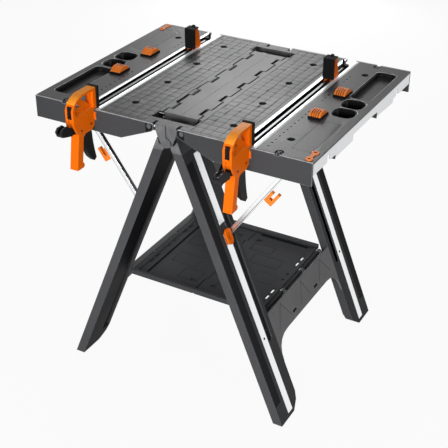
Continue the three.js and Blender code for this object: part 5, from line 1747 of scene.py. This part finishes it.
@dataclass
class BarClamp:
    """One bar clamp with its jaws, trigger and release lever."""

    kit: MeshKit
    rows: dict[RowShape, RowTree]
    side: Side
    track_x: float = 220.0
    half_width: float = 12.0
    pad_face: float = -297.0
    groove_count: int = 7
    groove_base: float = 822.0
    groove_pitch: float = 6.6
    groove_size: tuple[float, float, float] = (40.0, 1.8, 1.5)
    screw_start: tuple[float, float] = (-372.0, 776.0)
    screw_step: tuple[float, float] = (40.0, 4.0)
    screw_size: tuple[float, float, float] = (2.0, 6.0, 6.0)
    plate_half_width: float = 6.2
    plate_y: tuple[float, float] = (-400.6, -396.8)
    plate_z: tuple[float, float] = (815.3, 847.7)
    plate_rib_count: int = 5
    plate_rib_size: tuple[float, float, float] = (20.0, 1.6, 2.2)
    cap_half_width: float = 3.4
    cap_y: tuple[float, float] = (-401.2, -382.0)
    cap_z: tuple[float, float] = (794.2, 810.8)
    jaw_depth: float = 36.0
    tail_end: float = 262.0
    stop_half_width: float = 9.0
    stop_end: float = 275.0
    stop_z: tuple[float, float] = (799.0, 815.5)
    post_width: float = 5.0
    post_start: float = 269.0
    post_top: float = 828.0
    # Strength of the painted highlight on the clamp's up-facing faces.
    top_highlight_strength: float = 5.0

    def node(self, name: str) -> str:
        """Full name of one of this clamp's nodes."""
        return f"{self.side.value}_{name}"

    @property
    def jaw_face(self) -> float:
        """Where the rear jaw's gripping face stands along Y."""
        return 150.0 if self.side is Side.RIGHT else 166.0

    def at(self, x: float, y: float, z: float) -> Vector:
        """Place of a point given about the clamp's own track, in millimetres."""
        return Vector(((self.side.sign * self.track_x + x) * MM, y * MM + self.kit.shift_y, z * MM))

    def build(self) -> None:
        """Make and dress every piece of the clamp."""
        # Up-facing faces of the clamp get a painted highlight.
        crown = Mark("edge", self.painted_top_highlight)
        for name, width in (("clamp_body", 1.6), ("clamp_trigger", 1.6), ("release_lever", 1.6), ("rear_jaw", 1.4)):
            self.kit.dress(self.node(name), width, segments=3, marks=[crown])
        self.pad("clamp_pad", self.pad_face)
        self.pad("rear_jaw_pad", self.jaw_face)
        self.kit.dress(self.node("clamp_bar"), 0.5)
        self.screws()
        self.mouth_plate()
        self.bar_ends()

    def painted_top_highlight(self, polygon: bpy.types.MeshPolygon) -> float:
        """How strong the painted highlight is on a face of the clamp, for facing up."""
        return self.top_highlight_strength * (polygon.normal.z > 0.5)

    def pad(self, name: str, face: float) -> None:
        """Rubber pad with a grooved face.

        Args:
            name: Node of the pad.
            face: Where the gripping face stands along Y.
        """
        grooves = self.rows[RowShape.BAR].make(
            self.kit,
            "groove_cutter",
            self.groove_count,
            self.at(0, face, self.groove_base),
            Vector((0, 0, self.groove_pitch * MM)),
            Vector(self.groove_size) * MM,
        )
        # The pad's grooves get painted shade.
        self.kit.dress(self.node(name), 0.9, [Cut(grooves)], finish="pad")

    def screws(self) -> None:
        """Dark screw heads on both sides of the clamp body."""
        y, z = self.screw_start
        for face, place in ((-1, "far"), (1, "near")):
            screws = self.rows[RowShape.DOME].make(
                self.kit,
                self.node(f"clamp_screws_{place}"),
                2,
                self.at(face * self.half_width, y, z),
                Vector((0, *self.screw_step)) * MM,
                Vector(self.screw_size) * MM,
            )
            self.kit.finish(screws, "black", self.node("clamp"), Slot.BLACK)

    def mouth_plate(self) -> None:
        """Dark ribbed plate in the mouth over the bar."""
        half = self.plate_half_width
        (near, far), (low, high) = self.plate_y, self.plate_z
        plate = self.kit.block(self.node("mouth_plate"), self.at(-half, near, low), self.at(half, far, high))
        self.kit.round_edges(plate, 0.5)
        pitch = (high - low) / self.plate_rib_count
        grooves = self.rows[RowShape.BAR].make(
            self.kit,
            "rib_cutter",
            self.plate_rib_count - 1,
            self.at(0, near, low + pitch),
            Vector((0, 0, pitch * MM)),
            Vector(self.plate_rib_size) * MM,
        )
        # The grooves between the ribs get painted shade.
        self.kit.carve(plate, Cut(grooves))
        self.kit.finish(plate, "black", self.node("clamp"), Slot.BLACK)

    def bar_ends(self) -> None:
        """Cap on the front end of the bar, and its tail behind the jaw with a stop and a post."""
        half, stop = self.cap_half_width, self.stop_half_width
        (near, far), (low, high), (base, crown) = self.cap_y, self.cap_z, self.stop_z
        inner = -self.side.sign * stop
        post = inner + self.side.sign * self.post_width
        start = self.jaw_face + self.jaw_depth + 0.1
        blocks = (
            ("bar_cap", Slot.ORANGE, (-half, near, low), (half, far, high)),
            ("bar_tail", Slot.STEEL, (-half, start, low), (half, self.tail_end, high)),
            ("bar_stop", Slot.BLACK, (-stop, self.tail_end + 0.1, base), (stop, self.stop_end, crown)),
            ("bar_post", Slot.BLACK, (inner, self.post_start, crown + 0.1), (post, self.stop_end, self.post_top)),
        )
        for name, slot, first, last in blocks:
            piece = self.kit.block(self.node(name), self.at(*first), self.at(*last))
            self.kit.round_edges(piece, 0.8)
            self.kit.finish(piece, slot.value, self.kit.body_of[self.node("clamp_bar")], slot)


@dataclass
class SmallParts:
    """Bench dogs, connector clips and the leg pivot rod."""

    kit: MeshKit
    top: float = 813.0
    dog_x: float = 296.0
    dog_y: float = 76.2
    dog_half: tuple[float, float] = (15.0, 23.0)
    rebate: tuple[float, float] = (2.2, 5.4)
    base_gap: float = 0.1
    groove_middles: tuple[float, ...] = (-8.7, -2.9, 2.9, 8.7)
    groove_half: float = 1.3

    def build(self) -> None:
        """Dress the loose parts."""
        for side in Side:
            for place, sign in (("front", -1), ("rear", 1)):
                dog = f"{side.value}_{place}_dog"
                middle = sign * side.sign * self.dog_y
                width, height = self.rebate
                # The rebate's faces get painted shade, and a black ring fills it, standing in for the shadow at the
                # dog's foot.
                rebate = Cut(self.base("rebate_cutter", side, middle, width, (0.0, height)))
                # The dog's grooves get painted shade.
                self.kit.dress(dog, 0.7, [rebate], "amber", marks=[Mark("groove", self.painted_groove_shade)])
                inside = (self.base_gap, height - self.base_gap)
                base = self.base(f"{dog}_base", side, middle, width - self.base_gap, inside)
                self.kit.finish(base, "black", self.kit.body_of[dog], Slot.BLACK)
            self.kit.dress(f"{side.value}_connector_clip", 0.6, finish="amber")
        self.kit.dress("leg_pivot_rod", 0.5)

    def base(
        self,
        name: str,
        side: Side,
        middle: float,
        width: float,
        heights: tuple[float, float],
    ) -> bpy.types.Object:
        """Black ring around the foot of a dog, standing in for the dark shadow line there, or the cutter of its
        place.

        Args:
            name: Name of the object.
            side: Half of the bench.
            middle: Middle of the dog along Y, before the left half is turned.
            width: How far the base reaches to both sides of the dog's outline.
            heights: Lowest and highest Z above the table.

        Returns:
            The base.
        """
        lines_x = [self.dog_x + end * self.dog_half[0] for end in (-1, 1)]
        lines_y = [middle + end * self.dog_half[1] for end in (-1, 1)]
        low, high = (self.top + height for height in heights)
        return self.kit.lattice(name, lines_x, lines_y, 2 * width, (low, high), side)

    def painted_groove_shade(self, polygon: bpy.types.MeshPolygon) -> float:
        """How much painted shade a face of a dog gets, for lying in one of its grooves."""
        across = abs(polygon.center.x) / MM - self.dog_x
        nearest = min(abs(across - middle) for middle in self.groove_middles)
        wall = abs(polygon.normal.x) > 0.9 and nearest < self.groove_half + 0.2
        return float(polygon.center.z / MM > self.top and (wall or nearest < 0.2))


@dataclass
class Studio:
    """Floor, light and camera."""

    kit: MeshKit
    camera_place: tuple[float, float, float] = (1176.2, -2128.0, 1817.2)
    azimuth: float = math.radians(29.17)
    elevation: float = math.radians(30.64)
    roll: float = math.radians(0.19)
    focal_pixels: float = 980.97
    sensor: float = 36.0
    floor_reach: float = 30.0
    floor_glow: float = 0.93
    floor_tone: float = 0.6
    ambient: float = 0.18
    backdrop: float = 0.94

    def build(self) -> None:
        """Make the camera, the floor, the world and the lamps."""
        self.camera()
        self.floor()
        self.world()
        self.lamp("key_softbox", (0.5, -3.3, 1.1), (0, 0, 0.5), 1.6, 112.0)
        self.lamp("sheen_softbox", (-1.05, 2.15, 2.1), (0.2, -0.3, 0.8), 0.8, 18.0)
        self.lamp("top_softbox", (0.2, 0.4, 3.4), (0, 0, 0.8), 2.4, 8.0)
        self.lamp("side_fill", (3.2, -1.3, 1.2), (0, 0, 0.5), 1.6, 30.0)
        self.lamp("rear_fill", (-1.4, 3.2, 0.4), (0, 0, 0.4), 0.8, 45.0)

    def camera(self) -> None:
        """Camera at the photograph's viewing angle."""
        data = bpy.data.cameras.new("camera")
        data.sensor_width = self.sensor
        data.lens = self.focal_pixels * self.sensor / IMAGE_SIZE
        data.clip_end = 50.0
        obj = bpy.data.objects.new("camera", data)
        bpy.context.scene.collection.objects.link(obj)
        sin_a, cos_a = math.sin(self.azimuth), math.cos(self.azimuth)
        sin_e, cos_e = math.sin(self.elevation), math.cos(self.elevation)
        forward = Vector((-sin_a * cos_e, cos_a * cos_e, -sin_e))
        level = Vector((cos_a, sin_a, 0))
        upright = level.cross(forward)
        right = level * math.cos(self.roll) + upright * math.sin(self.roll)
        up = right.cross(forward)
        turn = Matrix((right, up, -forward)).transposed().to_4x4()
        obj.matrix_world = Matrix.Translation(self.kit.at(*self.camera_place)) @ turn
        bpy.context.scene.camera = obj

    def floor(self) -> None:
        """Pale floor that shows white to the camera and keeps a soft shadow."""
        mesh = bpy.data.meshes.new("floor")
        reach = self.floor_reach
        corners = [(-reach, -reach, 0), (reach, -reach, 0), (reach, reach, 0), (-reach, reach, 0)]
        mesh.from_pydata(corners, [], [(0, 1, 2, 3)])
        obj = self.kit.new_object("floor", mesh)
        material = bpy.data.materials.new("pale_floor")
        material.use_nodes = True
        tree = material.node_tree
        shader = tree.nodes["Principled BSDF"]
        shader.inputs["Base Color"].default_value = (*(self.floor_tone,) * 3, 1)
        shader.inputs["Roughness"].default_value = 0.9
        shader.inputs["Specular IOR Level"].default_value = 0.0
        glow = tree.nodes.new("ShaderNodeEmission")
        mix = tree.nodes.new("ShaderNodeMixShader")
        share = tree.nodes.new("ShaderNodeMath")
        share.operation = "MULTIPLY"
        share.inputs[1].default_value = self.floor_glow
        tree.links.new(self.in_view(tree), share.inputs[0])
        tree.links.new(share.outputs[0], mix.inputs[0])
        tree.links.new(shader.outputs[0], mix.inputs[1])
        tree.links.new(glow.outputs[0], mix.inputs[2])
        tree.links.new(mix.outputs[0], tree.nodes["Material Output"].inputs["Surface"])
        mesh.materials.append(material)

    def world(self) -> None:
        """White to the camera and in reflections, softer as light."""
        world = bpy.data.worlds.new("studio")
        bpy.context.scene.world = world
        world.use_nodes = True
        tree = world.node_tree
        span = tree.nodes.new("ShaderNodeMapRange")
        span.inputs["To Min"].default_value = self.ambient
        span.inputs["To Max"].default_value = self.backdrop
        tree.links.new(self.in_view(tree), span.inputs["Value"])
        tree.links.new(span.outputs["Result"], tree.nodes["Background"].inputs["Strength"])
        tree.nodes["Background"].inputs["Color"].default_value = (1, 1, 1, 1)

    @staticmethod
    def in_view(tree: bpy.types.NodeTree) -> bpy.types.NodeSocket:
        """Add a value of 1 for rays that show a surface, directly, mirrored or through glass.

        Args:
            tree: Tree that takes the nodes.

        Returns:
            The value's socket.
        """
        path = tree.nodes.new("ShaderNodeLightPath")
        seen = path.outputs["Is Camera Ray"]
        for ray in ("Is Glossy Ray", "Is Transmission Ray"):
            either = tree.nodes.new("ShaderNodeMath")
            either.operation = "MAXIMUM"
            tree.links.new(seen, either.inputs[0])
            tree.links.new(path.outputs[ray], either.inputs[1])
            seen = either.outputs[0]
        return seen

    @staticmethod
    def lamp(
        name: str,
        place: tuple[float, float, float],
        aim: tuple[float, float, float],
        size: float,
        power: float,
    ) -> None:
        """Add an area lamp.

        Args:
            name: Name of the lamp.
            place: Where it stands, in metres.
            aim: What it points at.
            size: Width of its square face.
            power: Power in watts.
        """
        data = bpy.data.lights.new(name, "AREA")
        data.size = size
        data.energy = power
        obj = bpy.data.objects.new(name, data)
        bpy.context.scene.collection.objects.link(obj)
        obj.location = place
        obj.rotation_euler = (Vector(aim) - Vector(place)).to_track_quat("-Z", "Y").to_euler()


def main() -> None:
    """Build the bench around the frame."""
    logging.basicConfig(level=logging.INFO, format="%(name)s: %(message)s")
    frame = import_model()
    bpy.context.scene.view_settings.view_transform = "Standard"
    shaders = ShaderKit()
    finishes = {name: finish.build(shaders) for name, finish in FINISHES.items()}
    kit = MeshKit(frame, finishes)
    rows = {shape: RowTree(shape) for shape in RowShape}
    Studio(kit).build()
    for side in Side:
        Wing(kit, rows, side).build()
        LegFrame(kit, rows, side).build()
        Struts(kit, side).build()
        BarClamp(kit, rows, side).build()
    Shelf(kit).build()
    SmallParts(kit).build()


if __name__ == "__main__":
    main()
